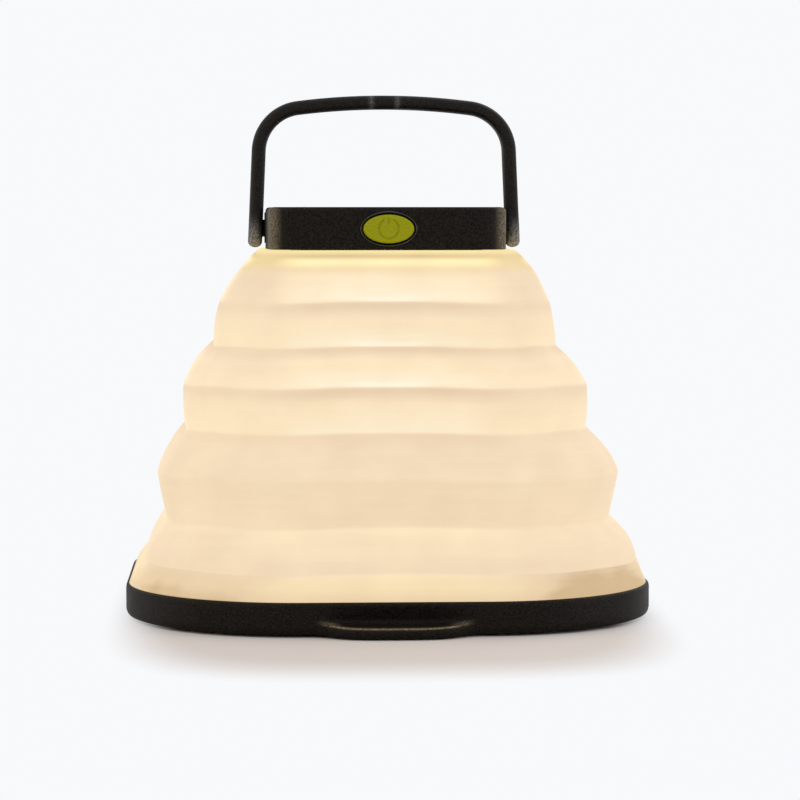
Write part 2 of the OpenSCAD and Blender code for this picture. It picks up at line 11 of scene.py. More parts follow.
import bmesh
import bpy
import numpy as np
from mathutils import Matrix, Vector, noise


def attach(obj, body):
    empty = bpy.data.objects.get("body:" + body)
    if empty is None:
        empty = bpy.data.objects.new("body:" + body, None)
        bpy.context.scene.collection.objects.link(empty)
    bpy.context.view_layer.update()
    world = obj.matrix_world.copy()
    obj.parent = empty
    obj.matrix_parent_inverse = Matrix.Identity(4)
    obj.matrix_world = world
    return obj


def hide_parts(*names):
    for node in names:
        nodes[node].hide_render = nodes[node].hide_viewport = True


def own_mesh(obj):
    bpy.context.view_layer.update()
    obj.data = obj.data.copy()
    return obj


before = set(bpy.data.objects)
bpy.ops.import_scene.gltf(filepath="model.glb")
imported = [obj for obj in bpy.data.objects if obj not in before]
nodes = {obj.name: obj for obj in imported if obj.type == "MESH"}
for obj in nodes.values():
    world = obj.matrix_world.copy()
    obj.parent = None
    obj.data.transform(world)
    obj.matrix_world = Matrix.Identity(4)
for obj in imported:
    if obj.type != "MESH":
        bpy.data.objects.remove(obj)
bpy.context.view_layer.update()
MM = 0.001

# %% [markdown]
# ## Colours and nodes
# A colour on screen is an sRGB value, but the shader adds and multiplies light, which is linear. One
# function turns a hex colour into linear light. Every material is a small tree of nodes, so one more
# function adds a node, sets its properties and either sets or links each input.

# %% Colour and node helpers
def linear(hex_colour):
    """Linear RGBA of an sRGB hex colour such as #1f1c1a, by the standard curve."""
    parts = [int(hex_colour[i : i + 2], 16) / 255 for i in (1, 3, 5)]
    return [c / 12.92 if c <= 0.04045 else ((c + 0.055) / 1.055) ** 2.4 for c in parts] + [1.0]


def add(tree, kind, inputs=None, stops=None, **settings):
    """Adds a node: settings are its properties, inputs its sockets, stops the colours of a ramp."""
    made = tree.nodes.new(kind)
    for name, value in settings.items():
        setattr(made, name, value)
    for name, value in (inputs or {}).items():
        if isinstance(value, bpy.types.NodeSocket):
            tree.links.new(value, made.inputs[name])
        else:
            made.inputs[name].default_value = value
    for i, (place, colour) in enumerate(stops or []):
        elements = made.color_ramp.elements
        stop = elements[i] if i < 2 else elements.new(place)
        stop.position = place
        stop.color = colour
    return made


def new_finish(name, **values):
    """A material with one Principled shader, whose plain values are set on the shader's own sockets."""
    material = bpy.data.materials.new(name)
    material.use_nodes = True
    tree = material.node_tree
    shader = tree.nodes["Principled BSDF"]
    for socket, value in values.items():
        shader.inputs[socket.replace("_", " ")].default_value = value
    return material, tree, shader


def per_metre(size_mm):
    """Scale of a texture whose features are size_mm across, for coordinates in metres."""
    return 1 / MM / size_mm


print("helpers ready, mid grey is", round(linear("#808080")[0], 3), "in linear light")

# %% [markdown]
# ## Floor and backdrop
# The lantern is shown on a pale sheet of paper. A uniform pale world lights it from all round, and the
# world's own colour is the backdrop. A floor of one colour would end in a visible line. So the floor is
# painted a warm grey, a painted shadow, in a rounded rectangle under the base and before and behind it,
# where the lantern's real soft shadow falls on it too, and fades to the backdrop's colour further out.
# The fade is only for rays that are seen, so the floor still bounces light as paper does.

# %% World
BACKDROP = "#f8f9fb"

world = bpy.data.worlds.new("even_studio")
world.use_nodes = True
bpy.context.scene.world = world
sky = world.node_tree.nodes["Background"]
sky.inputs["Color"].default_value = linear(BACKDROP)
sky.inputs["Strength"].default_value = 1.0
print("world:", world.name)

# %% Floor
# The floor's warm grey is a painted shadow; the lantern's real shadow falls on it as well.
FLOOR_PAINTED_SHADOW_GREY = "#c9c1bc"
FLOOR_HALF = 6.0

floor_mesh = bpy.data.meshes.new("floor")
corners = [(x * FLOOR_HALF, y * FLOOR_HALF, 0) for x, y in ((-1, -1), (1, -1), (1, 1), (-1, 1))]
floor_mesh.from_pydata(corners, [], [(0, 1, 2, 3)])
floor = bpy.data.objects.new("floor", floor_mesh)
bpy.context.scene.collection.objects.link(floor)
sheet, tree, shader = new_finish(
    "paper_with_painted_shadow", Base_Color=linear(FLOOR_PAINTED_SHADOW_GREY), Roughness=0.9, Specular_IOR_Level=0.0
)
floor_mesh.materials.append(sheet)
print("floor:", 2 * FLOOR_HALF, "m wide")

# %% Fade of the floor
# The painted shadow's half width and half depth in metres, and where the fade runs, as shares of these.
PAINTED_SHADOW_SIZE = (0.057, 0.108, 1.0)
FADE_FROM, FADE_TO = 0.66, 0.90

# Squaring each side before taking the length turns an oval into a rectangle with round corners.
position = add(tree, "ShaderNodeNewGeometry").outputs["Position"]
inputs = {0: position, 1: PAINTED_SHADOW_SIZE}
scaled = add(tree, "ShaderNodeVectorMath", inputs, operation="DIVIDE").outputs["Vector"]
inputs = {0: scaled, 1: scaled}
squared = add(tree, "ShaderNodeVectorMath", inputs, operation="MULTIPLY").outputs["Vector"]
reach = add(tree, "ShaderNodeVectorMath", {0: squared}, operation="LENGTH").outputs["Value"]
limits = {"Value": reach, "From Min": FADE_FROM**2, "From Max": FADE_TO**2}
fade = add(tree, "ShaderNodeMapRange", limits, interpolation_type="SMOOTHSTEP").outputs["Result"]
rays = add(tree, "ShaderNodeLightPath").outputs
seen = rays["Is Camera Ray"]
for kind_of_ray in ("Is Glossy Ray", "Is Transmission Ray"):
    seen = add(tree, "ShaderNodeMath", {0: seen, 1: rays[kind_of_ray]}, operation="MAXIMUM").outputs[0]
share = add(tree, "ShaderNodeMath", {0: fade, 1: seen}, operation="MULTIPLY").outputs[0]
paper_white = add(tree, "ShaderNodeEmission", {"Color": linear(BACKDROP), "Strength": 1.0}).outputs[0]
surface = add(tree, "ShaderNodeMixShader", {0: share, 1: shader.outputs[0], 2: paper_white}).outputs[0]
tree.links.new(surface, tree.nodes["Material Output"].inputs["Surface"])
print("floor fades from", FADE_FROM, "to", FADE_TO, "of the painted shadow's size")

# %% [markdown]
# ## Lamps
# Even light alone leaves black plastic without form. A wide softbox above the left shoulder gives the light a
# direction, a weaker one behind lifts the far edges, and a narrow strip at each side draws a thin sheen
# along the handle's legs and the cap's corners. All are area lamps, because a point lamp casts hard shadows.

# %% Lamps
# The lamps point at the middle of the lantern, in metres.
MIDDLE = Vector((0, 0, 0.06))
# Name, place in metres, width and height in metres, watts and tint.
LAMPS = (
    ("key_softbox", (-0.4, -0.45, 0.75), (0.4, 0.4), 1.2, "#ffffff"),
    ("rear_softbox", (0.45, 0.5, 0.6), (0.4, 0.4), 0.8, "#ffffff"),
    ("left_strip", (-0.5, -0.06, 0.1), (0.1, 0.3), 0.4, "#ffe9b0"),
    ("right_strip", (0.5, -0.12, 0.12), (0.1, 0.3), 0.6, "#ffffff"),
)

for name, place, size, watts, tint in LAMPS:
    lamp_data = bpy.data.lights.new(name, "AREA")
    lamp_data.shape = "RECTANGLE"
    lamp_data.size, lamp_data.size_y = size
    lamp_data.energy = watts
    lamp_data.color = linear(tint)[:3]
    lamp = bpy.data.objects.new(name, lamp_data)
    lamp.location = place
    lamp.rotation_euler = (MIDDLE - Vector(place)).to_track_quat("-Z", "Y").to_euler()
    bpy.context.scene.collection.objects.link(lamp)

# %% [markdown]
# ## Camera
# The photograph was taken from a little over half a metre, just to the left of square on and just above
# the cap, so the lens is long and the verticals stay nearly parallel. The camera is aimed, not shifted.

# %% Camera
# Pixels are those of the square picture, distances are in metres and angles in degrees. The lantern's
# axis is seen at the column AXIS_PIXEL.
IMAGE = 800
EYE_DISTANCE, EYE_HEIGHT = 0.55, 0.073
EYE_AZIMUTH, EYE_PITCH = -2.5, 3.69
FOCAL_PIXELS = 2975
AXIS_PIXEL = 384.0
SENSOR_MM = 36.0

camera_data = bpy.data.cameras.new("camera")
camera_data.sensor_width = SENSOR_MM
camera_data.lens = FOCAL_PIXELS * SENSOR_MM / IMAGE
camera = bpy.data.objects.new("camera", camera_data)
azimuth = math.radians(EYE_AZIMUTH)
yaw = math.atan((IMAGE / 2 - AXIS_PIXEL) / FOCAL_PIXELS)
camera.location = (math.sin(azimuth) * EYE_DISTANCE, -math.cos(azimuth) * EYE_DISTANCE, EYE_HEIGHT)
camera.rotation_euler = (math.radians(90 - EYE_PITCH), 0, azimuth - yaw)
bpy.context.scene.collection.objects.link(camera)
bpy.context.scene.camera = camera
bpy.context.scene.view_settings.view_transform = "Standard"
print("camera: lens", round(camera_data.lens), "mm at", [round(x, 3) for x in camera.location])

# %% [markdown]
# ## Rings round the plan
# Base, shade and foot share one kind of plan: a square with round corners. Its corners are struck from four
# points, so each point of a ring is a point on a small square plus a direction, and a ring of any
# size is that square pushed outward. A piece is then a stack of rings, joined by quads.

# %% Plan of a ring
PLAN_CORE = 16.0
CORNER_STEPS, FLAT_STEPS = 24, 20


def plan(core, corner_steps, flat_steps):
    """Start points and outward directions of a ring, counter-clockwise from the right rear corner."""
    starts, ways = [], []
    for quarter in range(4):
        turn = math.radians(90 * quarter)
        spin = np.array([[math.cos(turn), -math.sin(turn)], [math.sin(turn), math.cos(turn)]])
        for i in range(corner_steps + 1):
            angle = math.pi / 2 * i / corner_steps
            starts.append(spin @ (core, core))
            ways.append(spin @ (math.cos(angle), math.sin(angle)))
        for i in range(1, flat_steps):
            starts.append(spin @ (core * (1 - 2 * i / flat_steps), core))
            ways.append(spin @ (0.0, 1.0))
    return np.array(starts), np.array(ways)


def round_angles(steps):
    """Angles of evenly spaced points round a circle."""
    return np.linspace(0, 2 * math.pi, steps, endpoint=False)


print("a ring of the shade has", len(plan(PLAN_CORE, CORNER_STEPS, FLAT_STEPS)[0]), "points")

# %% [markdown]
# ## From rings to meshes
# A mesh is a list of points and a list of faces that name their points by number. Counting the rings gives
# the faces, and a tube that isn't closed on itself gets a flat face at each end. Which way a face looks
# depends on the order of its points. Keeping that right by hand in every piece is easy to get wrong, so
# one step at the end turns all faces of a closed piece to the outside.

# %% Mesh helpers
SAME_POINT_MM = 0.0003


def ring_faces(rows, count, closed):
    """Quads between rings of count points, and between the last and first ring if closed."""
    faces = []
    for r in range(rows if closed else rows - 1):
        a, b = r * count, (r + 1) % rows * count
        for i in range(count):
            j = (i + 1) % count
            faces.append((a + i, b + i, b + j, a + j))
    return faces


def tube_faces(rows, count):
    """Quads between rings of count points, and one face over the first and one over the last ring."""
    ends = [tuple(range(count)), tuple(reversed(range((rows - 1) * count, rows * count)))]
    return ring_faces(rows, count, False) + ends


def numbered_from(start, faces):
    """The same faces for points that come after the first start points of a mesh."""
    return [tuple(start + i for i in face) for face in faces]


def turn_outward(mesh):
    """Joins points that lie on each other and turns every face to the outside."""
    work = bmesh.new()
    work.from_mesh(mesh)
    bmesh.ops.remove_doubles(work, verts=work.verts[:], dist=SAME_POINT_MM * MM)
    bmesh.ops.recalc_face_normals(work, faces=work.faces[:])
    work.to_mesh(mesh)
    work.free()


def make_mesh(name, points_mm, faces):
    """A smooth-shaded mesh object from points in millimetres."""
    mesh = bpy.data.meshes.new(name)
    mesh.from_pydata((np.asarray(points_mm) * MM).tolist(), [], faces)
    mesh.validate()
    turn_outward(mesh)
    mesh.polygons.foreach_set("use_smooth", [True] * len(mesh.polygons))
    obj = bpy.data.objects.new(name, mesh)
    bpy.context.scene.collection.objects.link(obj)
    return obj


def store(obj, name, values):
    """Keeps one number per point, which a material can read by its name."""
    layer = obj.data.attributes.new(name, "FLOAT", "POINT")
    layer.data.foreach_set("value", np.asarray(values, np.float32).ravel())


print("a tube of 3 rings with 4 points each has", len(tube_faces(3, 4)), "faces")

# %% [markdown]
# ## Easing and rounding
# Moulded parts have few sharp steps, so nearly every shape here needs soft ones. Splines could draw them,
# but two small functions are easier to follow: one eases a value from 0 to 1, and the other cuts the
# corners of a line until it is a curve.

# %% Curve helpers
def smooth(values, start, end):
    """Eases from 0 at start to 1 at end."""
    t = np.clip((np.asarray(values, float) - start) / (end - start), 0, 1)
    return t * t * (3 - 2 * t)


def rounded(corners, times):
    """Cuts the corners of an open line again and again, so that it turns into a curve between them."""
    line = np.asarray(corners, float)
    for _ in range(times):
        near = 0.75 * line[:-1] + 0.25 * line[1:]
        far = 0.25 * line[:-1] + 0.75 * line[1:]
        line = np.vstack([line[:1], np.stack([near, far], 1).reshape(-1, line.shape[1]), line[-1:]])
    return line


print("a corner cut twice has", len(rounded(((0, 0), (1, 0), (1, 1)), 2)), "points")

# %% [markdown]
# ## The silicone shade
# The real shade is one moulding in translucent silicone about a millimetre thick. Each pleat has a sloping
# panel above its ridge and a steeper one under it, both slightly swollen. Modelling folds by hand would
# take long, so the section is worked out from the fold points, softened a little where the moulding is
# rounded, and carried round the plan. The section is closed, with an outer skin, a foot flange, an
# inner skin and a neck flange, because the piece has to be solid from every side.

# %% Section of the shade
# Half widths, heights and swells are in millimetres. Each fold is a share of the way out and down.
NECK_HALF, FOOT_HALF = 23.9, 46.8
NECK_Z, COLLAR_Z, RIM_Z = 64.6, 65.5, 6.0
VALLEYS = ((0.0, 0.0), (0.297, 0.271), (0.524, 0.524), (0.690, 0.797))
RIDGES = ((0.249, 0.138), (0.537, 0.387), (0.767, 0.653), (0.893, 0.925))
FOOT_SHARE = 0.988
SWELL = (0.5, 0.3, 0.55, 0.25, 0.6, 0.05, 0.85, 0.1)
PANEL_STEPS = 26

shares = np.array([fold for pair in zip(VALLEYS, RIDGES) for fold in pair] + [(FOOT_SHARE, 1.0)])
folds = np.column_stack(
    [NECK_HALF + shares[:, 0] * (FOOT_HALF - NECK_HALF), NECK_Z - shares[:, 1] * (NECK_Z - RIM_Z)]
)
panels = len(folds) - 1
outer, panel_of, along = [], [], []
for p in range(panels):
    run = folds[p + 1] - folds[p]
    outward = np.array([-run[1], run[0]]) / np.linalg.norm(run)
    for t in np.arange(PANEL_STEPS) / PANEL_STEPS:
        outer.append(folds[p] + run * t + outward * 4 * SWELL[p] * t * (1 - t))
        panel_of.append(p)
        along.append(t)
outer = np.array(outer + [folds[-1]])
panel_of = np.array(panel_of + [panels - 1])
along = np.array(along + [1.0])
print("shade section:", len(outer), "points,", len(folds), "folds")

# %% [markdown]
# ## Soft folds and a closed section
# Silicone can't be moulded to a knife edge. A bevel on every fold would add many faces, so a short blur
# along the section rounds the folds instead. The inner skin is the outer one set back by the wall, with
# fewer points, because it is hidden inside.

# %% Soften and close the section
FOLD_BLUR = (0.03, 0.17, 0.6, 0.17, 0.03)
WALL, FLANGE = 1.0, 1.1
INNER_EVERY = 4
FOOT_FLANGE_HALF, NECK_FLANGE_HALF = 39.7, 18.5
COLLAR_INSET, FOOT_SET_BACK = 1.0, 0.2


def softened(rows):
    """Blurs values along the section, but leaves both ends as they are."""
    reach = len(FOLD_BLUR) // 2
    blurred = rows.copy()
    for i in range(reach, len(rows) - reach):
        blurred[i] = sum(w * rows[i + d] for w, d in zip(FOLD_BLUR, range(-reach, reach + 1)))
    return blurred


skin = softened(outer)
inner = skin[::INNER_EVERY] - (WALL, 0)
inner = inner[(inner[:, 1] > RIM_Z + FLANGE) & (inner[:, 1] < COLLAR_Z - FLANGE)][::-1]
collar_edge = [(NECK_HALF - COLLAR_INSET, COLLAR_Z)]
foot_flange = [(FOOT_FLANGE_HALF, RIM_Z), (FOOT_FLANGE_HALF, RIM_Z + FLANGE)]
foot_flange += [(folds[-1][0] - WALL - FOOT_SET_BACK, RIM_Z + FLANGE)]
neck_flange = [(NECK_HALF - WALL, COLLAR_Z - FLANGE)]
neck_flange += [(NECK_FLANGE_HALF, COLLAR_Z - FLANGE), (NECK_FLANGE_HALF, COLLAR_Z)]
section = np.vstack([collar_edge, skin, foot_flange, inner, neck_flange])
height = section[:, 1]
skin_rows = slice(1, 1 + len(skin))
print("closed section:", len(section), "points")

# %% [markdown]
# ## Light in the shade
# The lamps hang under the cap and shine down, so each upper panel is darkest just under the fold above it,
# where the silicone is turned from the lamp, clears within a few millimetres and is brightest at its
# lower edge. The steps are strong near the lamps and weak near the base, and they soften towards the
# corners. A lamp inside a translucent solid is slow and noisy to trace, so each point stores how brightly
# it glows. Stored on the points, the glow also stays on its panel when the shade folds.

# %% Glow down the section
# One level per panel, from the neck down, at the panel's top, at the end of its shadow and at its foot.
GLOW_TOP = (0.30, 0.02, 0.00, 0.00, 0.12, 0.28, 0.53, 0.48)
GLOW_MID = (0.58, 0.53, 0.53, 0.56, 0.30, 0.30, 0.42, 0.40)
GLOW_FOOT = (0.80, 0.78, 0.82, 0.74, 0.36, 0.29, 0.28, 0.12)
SHADOW_SHARE = 0.42
INSIDE_GLOW, COLLAR_GLOW = 0.3, 0.75

top_glow, mid_glow, foot_glow = (np.array(levels)[panel_of] for levels in (GLOW_TOP, GLOW_MID, GLOW_FOOT))
skin_glow = top_glow + (mid_glow - top_glow) * smooth(along, 0, SHADOW_SHARE)
skin_glow = softened(skin_glow + (foot_glow - mid_glow) * smooth(along, SHADOW_SHARE, 1))
row_glow = np.full(len(section), INSIDE_GLOW)
row_glow[0] = COLLAR_GLOW
row_glow[skin_rows] = skin_glow
print("glow of the skin from", round(skin_glow.min(), 2), "to", round(skin_glow.max(), 2))

# %% Glow round the plan
# Angles are degrees from the middle of a side, on a ring of half width MEASURE_HALF, so 45 is a corner. AT
# gives shares of the way down a panel. Towards the corners the glow is pulled to REST_GLOW. EDGE_LINE
# brightens the lower edge of the first panels, NECK_ADD draws bands under the neck, and the drops darken
# the corners and the right of the skirt.
MEASURE_HALF = 36.0
REST_GLOW, CORNER_PULL, PULL_DEGREES = 0.37, 0.55, (14, 36)
EDGE_LINE, EDGE_PANELS, EDGE_AT, EDGE_DEGREES = 0.22, 3, (0.84, 0.97), (5, 15)
NECK_AT = (0.0, 0.03, 0.11, 0.19, 0.29, 0.36, 0.5)
NECK_ADD = (-0.35, -0.35, 0.5, 0.4, -0.15, -0.17, 0.0)
NECK_DEGREES = (22, 42)
CORNER_DROP, DROP_DEGREES = (0.25, 0.0, 0.06, 0.0, 0.04, 0.0, 0.06, 0.36), (24, 39)
SKIRT_DROP, SKIRT_RIGHT_MM = 0.14, (10, 28)

starts, ways = plan(PLAN_CORE, CORNER_STEPS, FLAT_STEPS)
measured = starts + (MEASURE_HALF - PLAN_CORE) * ways
aside = np.degrees(np.arctan2(np.abs(measured).min(1), np.abs(measured).max(1)))
glow = REST_GLOW + (row_glow[:, None] - REST_GLOW) * (1 - CORNER_PULL * smooth(aside, *PULL_DEGREES))
edge_line = EDGE_LINE * (panel_of < EDGE_PANELS) * smooth(along, *EDGE_AT)
neck_band = np.where(panel_of == 0, np.interp(along, NECK_AT, NECK_ADD), 0)
glow[skin_rows] += np.outer(edge_line, 1 - smooth(aside, *EDGE_DEGREES))
glow[skin_rows] += np.outer(neck_band, 1 - smooth(aside, *NECK_DEGREES))
glow[skin_rows] -= np.outer(np.array(CORNER_DROP)[panel_of], smooth(aside, *DROP_DEGREES))
glow[skin_rows] -= SKIRT_DROP * np.outer(panel_of == panels - 1, smooth(measured[:, 0], *SKIRT_RIGHT_MM))
print("glow from", round(float(glow.min()), 2), "to", round(float(glow.max()), 2))

# %% [markdown]
# ## Carry the section round
# The section goes round the plan, and then the shape loses some of its exactness. A soft moulding never
# stands quite true: it sags a little towards the corners, leans sideways and has slow ripples. Sag and
# lean fade out at the two flanges, which are clamped, and the ripples stop short of them. Noise moves
# the points along the plan's own directions, so the mesh stays closed.

# %% Shade mesh
# Millimetres, and degrees from the middle of a side. LEAN_AT gives shares of the height over the rim.
RIPPLE_MM, RIPPLE_SIZE = 0.10, 9.0
RIPPLE_SKIP_TOP, RIPPLE_SKIP_FOOT = 3, 6
SAG_MM, SAG_DEGREES = 0.4, (8, 30)
SAG_BACK, SAG_BACK_DEGREES = 0.5, (34, 45)
FREE_OVER_RIM, FREE_UNDER_NECK = (1, 5), (6, 1)
LEAN_AT = (0.0, 0.05, 0.15, 0.2, 0.4, 0.5, 0.82, 1.0)
LEAN_MM = (0.3, 0.5, 0.55, 0.0, 0.1, -0.4, -0.6, -0.2)

points = np.empty((len(section), len(starts), 3))
points[:, :, :2] = starts[None] + (section[:, None, None, 0] - PLAN_CORE) * ways[None]
points[:, :, 2] = height[:, None]
free = smooth(height, RIM_Z + FREE_OVER_RIM[0], RIM_Z + FREE_OVER_RIM[1])
free *= 1 - smooth(height, NECK_Z - FREE_UNDER_NECK[0], NECK_Z - FREE_UNDER_NECK[1])
sag = smooth(aside, *SAG_DEGREES) - SAG_BACK * smooth(aside, *SAG_BACK_DEGREES)
points[:, :, 2] -= SAG_MM * free[:, None] * sag[None]
lean = np.interp((height - RIM_Z) / (NECK_Z - RIM_Z), LEAN_AT, LEAN_MM)
points[:, :, 0] += (lean * free)[:, None]
for r in range(skin_rows.start + RIPPLE_SKIP_TOP, skin_rows.stop - RIPPLE_SKIP_FOOT):
    for i in range(len(starts)):
        wave = noise.noise(Vector(points[r, i]) / RIPPLE_SIZE)
        points[r, i, :2] += ways[i] * wave * RIPPLE_MM
shade = make_mesh("shade", points.reshape(-1, 3), ring_faces(len(section), len(starts), True))
print("shade:", len(shade.data.vertices), "points")

# %% Store the light on the shade
LAMP_NEAR_Z, RIM_NEAR_Z = (60.9, 64.0), (9.0, 11.0)

all_round = np.ones(len(starts))
store(shade, "glow", glow)
store(shade, "lamp_near", np.outer(smooth(height, *LAMP_NEAR_Z), all_round))
store(shade, "rim_near", np.outer(1 - smooth(height, *RIM_NEAR_Z), all_round))
print("shade stores", [a.name for a in shade.data.attributes if a.name.endswith(("glow", "near"))])

# %% [markdown]
# ## Silicone that is lit from inside
# Liquid silicone rubber comes out of a satin mould milky and faintly soft to the eye. Part of what is seen
# is studio light on its surface and most is lamp light coming through. So the shader has a dull
# rubber surface of low gloss and adds the stored glow as emission. The ramp holds the colours as they
# are seen, and the share that the surface adds is taken off them. A faint cloudiness and level streaks
# come from moulding, where the silicone is a little thicker, and the satin is a fine bump.

# %% Level of the light
# Sizes in millimetres, and how many times longer than high a streak is. The satin of the real mould is
# finer and is drawn coarser, so that it shows.
SILICONE_CLOUD, SILICONE_STREAK, SILICONE_SATIN = 7.0, 1.2, 0.35
STREAK_LENGTH = 14
SWAY = 0.14
GLOW_GAIN, GLOW_LIFT = 0.9, 0.1

silicone, tree, shader = new_finish("lit_silicone", Roughness=0.7, IOR=1.41, Specular_IOR_Level=0.15)
spot = add(tree, "ShaderNodeTexCoord").outputs["Object"]
stored = add(tree, "ShaderNodeAttribute", attribute_name="glow").outputs["Fac"]
inputs = {"Vector": spot, "Scale": per_metre(SILICONE_CLOUD), "Detail": 3.0}
cloud = add(tree, "ShaderNodeTexNoise", inputs).outputs["Fac"]
inputs = {"Vector": spot, "Scale": (1 / STREAK_LENGTH, 1 / STREAK_LENGTH, 1.0)}
stretched = add(tree, "ShaderNodeMapping", inputs).outputs["Vector"]
inputs = {"Vector": stretched, "Scale": per_metre(SILICONE_STREAK), "Detail": 2.0}
streak = add(tree, "ShaderNodeTexNoise", inputs).outputs["Fac"]
both = add(tree, "ShaderNodeMath", {0: cloud, 1: streak}, operation="ADD").outputs[0]
sway = add(tree, "ShaderNodeMath", {0: both, 1: SWAY, 2: -SWAY}, operation="MULTIPLY_ADD").outputs[0]
level = add(tree, "ShaderNodeMath", {0: stored, 1: sway}, operation="ADD").outputs[0]
inputs = {0: level, 1: GLOW_GAIN, 2: GLOW_LIFT}
raised = add(tree, "ShaderNodeMath", inputs, operation="MULTIPLY_ADD").outputs[0]
print("light level swings by", SWAY, "with the thickness of the silicone")

# %% Colour of the light
# Near the lamp the light is yellower, and by the rim it is a little warmer.
SURFACE_SHARE = (0.135, 0.115, 0.08)
LIT_COLOURS = (
    (0.0, "#d4b892"),
    (1.0, "#fff9e6"),
    (0.10, "#e7ceac"),
    (0.37, "#f3dbb8"),
    (0.577, "#fce5bf"),
    (0.775, "#feeecc"),
)
TINTS = (("lamp_near", "#ffffd7"), ("rim_near", "#fffef1"))


def through(hex_colour):
    """The lamp's share of a colour that is seen, without what the studio light adds on the surface."""
    return [c - s for c, s in zip(linear(hex_colour), SURFACE_SHARE)] + [1.0]


stops = [(place, through(colour)) for place, colour in LIT_COLOURS]
lit = add(tree, "ShaderNodeValToRGB", {"Fac": raised}, stops).outputs["Color"]
for attribute, colour in TINTS:
    near = add(tree, "ShaderNodeAttribute", attribute_name=attribute).outputs["Fac"]
    inputs = {"Factor": near, "A": lit, "B": linear(colour)}
    lit = add(tree, "ShaderNodeMix", inputs, data_type="RGBA", blend_type="MULTIPLY").outputs["Result"]
tree.links.new(lit, shader.inputs["Emission Color"])
shader.inputs["Emission Strength"].default_value = 1.0
print("lamp light in", len(LIT_COLOURS), "colours and", len(TINTS), "tints")

# %% Surface of the silicone
MILKY = ((0.3, "#605a52"), (0.7, "#6a645b"))
SATIN_STRENGTH, SATIN_DEPTH = 0.05, 0.1

stops = [(place, linear(colour)) for place, colour in MILKY]
tint = add(tree, "ShaderNodeValToRGB", {"Fac": cloud}, stops).outputs["Color"]
tree.links.new(tint, shader.inputs["Base Color"])
inputs = {"Vector": spot, "Scale": per_metre(SILICONE_SATIN), "Detail": 2.0}
satin = add(tree, "ShaderNodeTexNoise", inputs).outputs["Fac"]
inputs = {"Height": satin, "Strength": SATIN_STRENGTH, "Distance": SATIN_DEPTH * MM}
bump = add(tree, "ShaderNodeBump", inputs).outputs["Normal"]
tree.links.new(bump, shader.inputs["Normal"])
shade.data.materials.append(silicone)
print("silicone:", len(tree.nodes), "nodes")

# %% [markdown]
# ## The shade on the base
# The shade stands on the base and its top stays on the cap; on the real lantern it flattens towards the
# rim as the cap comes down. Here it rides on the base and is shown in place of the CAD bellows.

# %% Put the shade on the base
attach(shade, "base")
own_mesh(shade)
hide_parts("bellows")

# %% [markdown]
# ## Black ABS
# Base, cap and handle are injection-moulded ABS from a spark-eroded mould, which leaves a fine matt grain.
# The eye sees a warm near-black that breaks up into small specks where light grazes it. The real
# grain is about 0.1 mm, too fine to show at this distance, so it is drawn at 0.3 mm. A slow
# change of roughness stands for the handling that every such surface gets.

# %% Moulded black ABS
ABS_GRAIN, ABS_WEAR, GRAIN_DEPTH = 0.3, 12.0, 0.08
GRAIN_DARK_AT, GRAIN_LIGHT_AT = 0.38, 0.68
WEAR_FROM, WEAR_TO = 0.3, 0.7


def moulded_plastic(name, dark, light, grain=ABS_GRAIN, rough=(0.46, 0.62), relief=0.35, gloss=0.22):
    """Grained plastic between two close colours. The grain is in millimetres."""
    material, tree, shader = new_finish(name, IOR=1.54, Specular_IOR_Level=gloss)
    spot = add(tree, "ShaderNodeTexCoord").outputs["Object"]
    inputs = {"Vector": spot, "Scale": per_metre(grain), "Detail": 3.0}
    grit = add(tree, "ShaderNodeTexNoise", inputs).outputs["Fac"]
    stops = [(GRAIN_DARK_AT, linear(dark)), (GRAIN_LIGHT_AT, linear(light))]
    paint = add(tree, "ShaderNodeValToRGB", {"Fac": grit}, stops).outputs["Color"]
    tree.links.new(paint, shader.inputs["Base Color"])
    inputs = {"Vector": spot, "Scale": per_metre(ABS_WEAR), "Detail": 4.0}
    wear = add(tree, "ShaderNodeTexNoise", inputs).outputs["Fac"]
    limits = {"From Min": WEAR_FROM, "From Max": WEAR_TO, "To Min": rough[0], "To Max": rough[1]}
    dull = add(tree, "ShaderNodeMapRange", {"Value": wear, **limits}).outputs["Result"]
    tree.links.new(dull, shader.inputs["Roughness"])
    inputs = {"Height": grit, "Strength": relief, "Distance": GRAIN_DEPTH * MM}
    bump = add(tree, "ShaderNodeBump", inputs).outputs["Normal"]
    tree.links.new(bump, shader.inputs["Normal"])
    return material


def dress(material, *names):
    """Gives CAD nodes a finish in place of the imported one."""
    for name in names:
        nodes[name].data.materials.clear()
        nodes[name].data.materials.append(material)


ABS_DARK, ABS_LIGHT, ABS_GLOSS = "#090704", "#211c17", 0.07
black_abs = moulded_plastic("black_abs", ABS_DARK, ABS_LIGHT, gloss=ABS_GLOSS)
dress(black_abs, "base_plate", "cap_floor")
print("black ABS on", [n for n, o in nodes.items() if black_abs.name in o.data.materials])

# %% [markdown]
# ## Lighter places
# Some places of the black ABS are painted lighter in small specks: a painted highlight on the lip and on the
# handle's saddle, a painted sheen on the cap's corners, and lighter feet on the handle. Painting that on an
# image would tie it to one unwrapped mesh. So a mask says where, and a fine noise breaks it up into
# specks. The mask can be a number stored on the points or a distance worked out from the position. The
# grain is about 0.1 mm, and the specks are drawn at 0.35 mm, so that they show.

# %% Plastic lightened in specks
SPECK = 0.35
SPECK_FROM, SPECK_TO = 0.25, 0.7


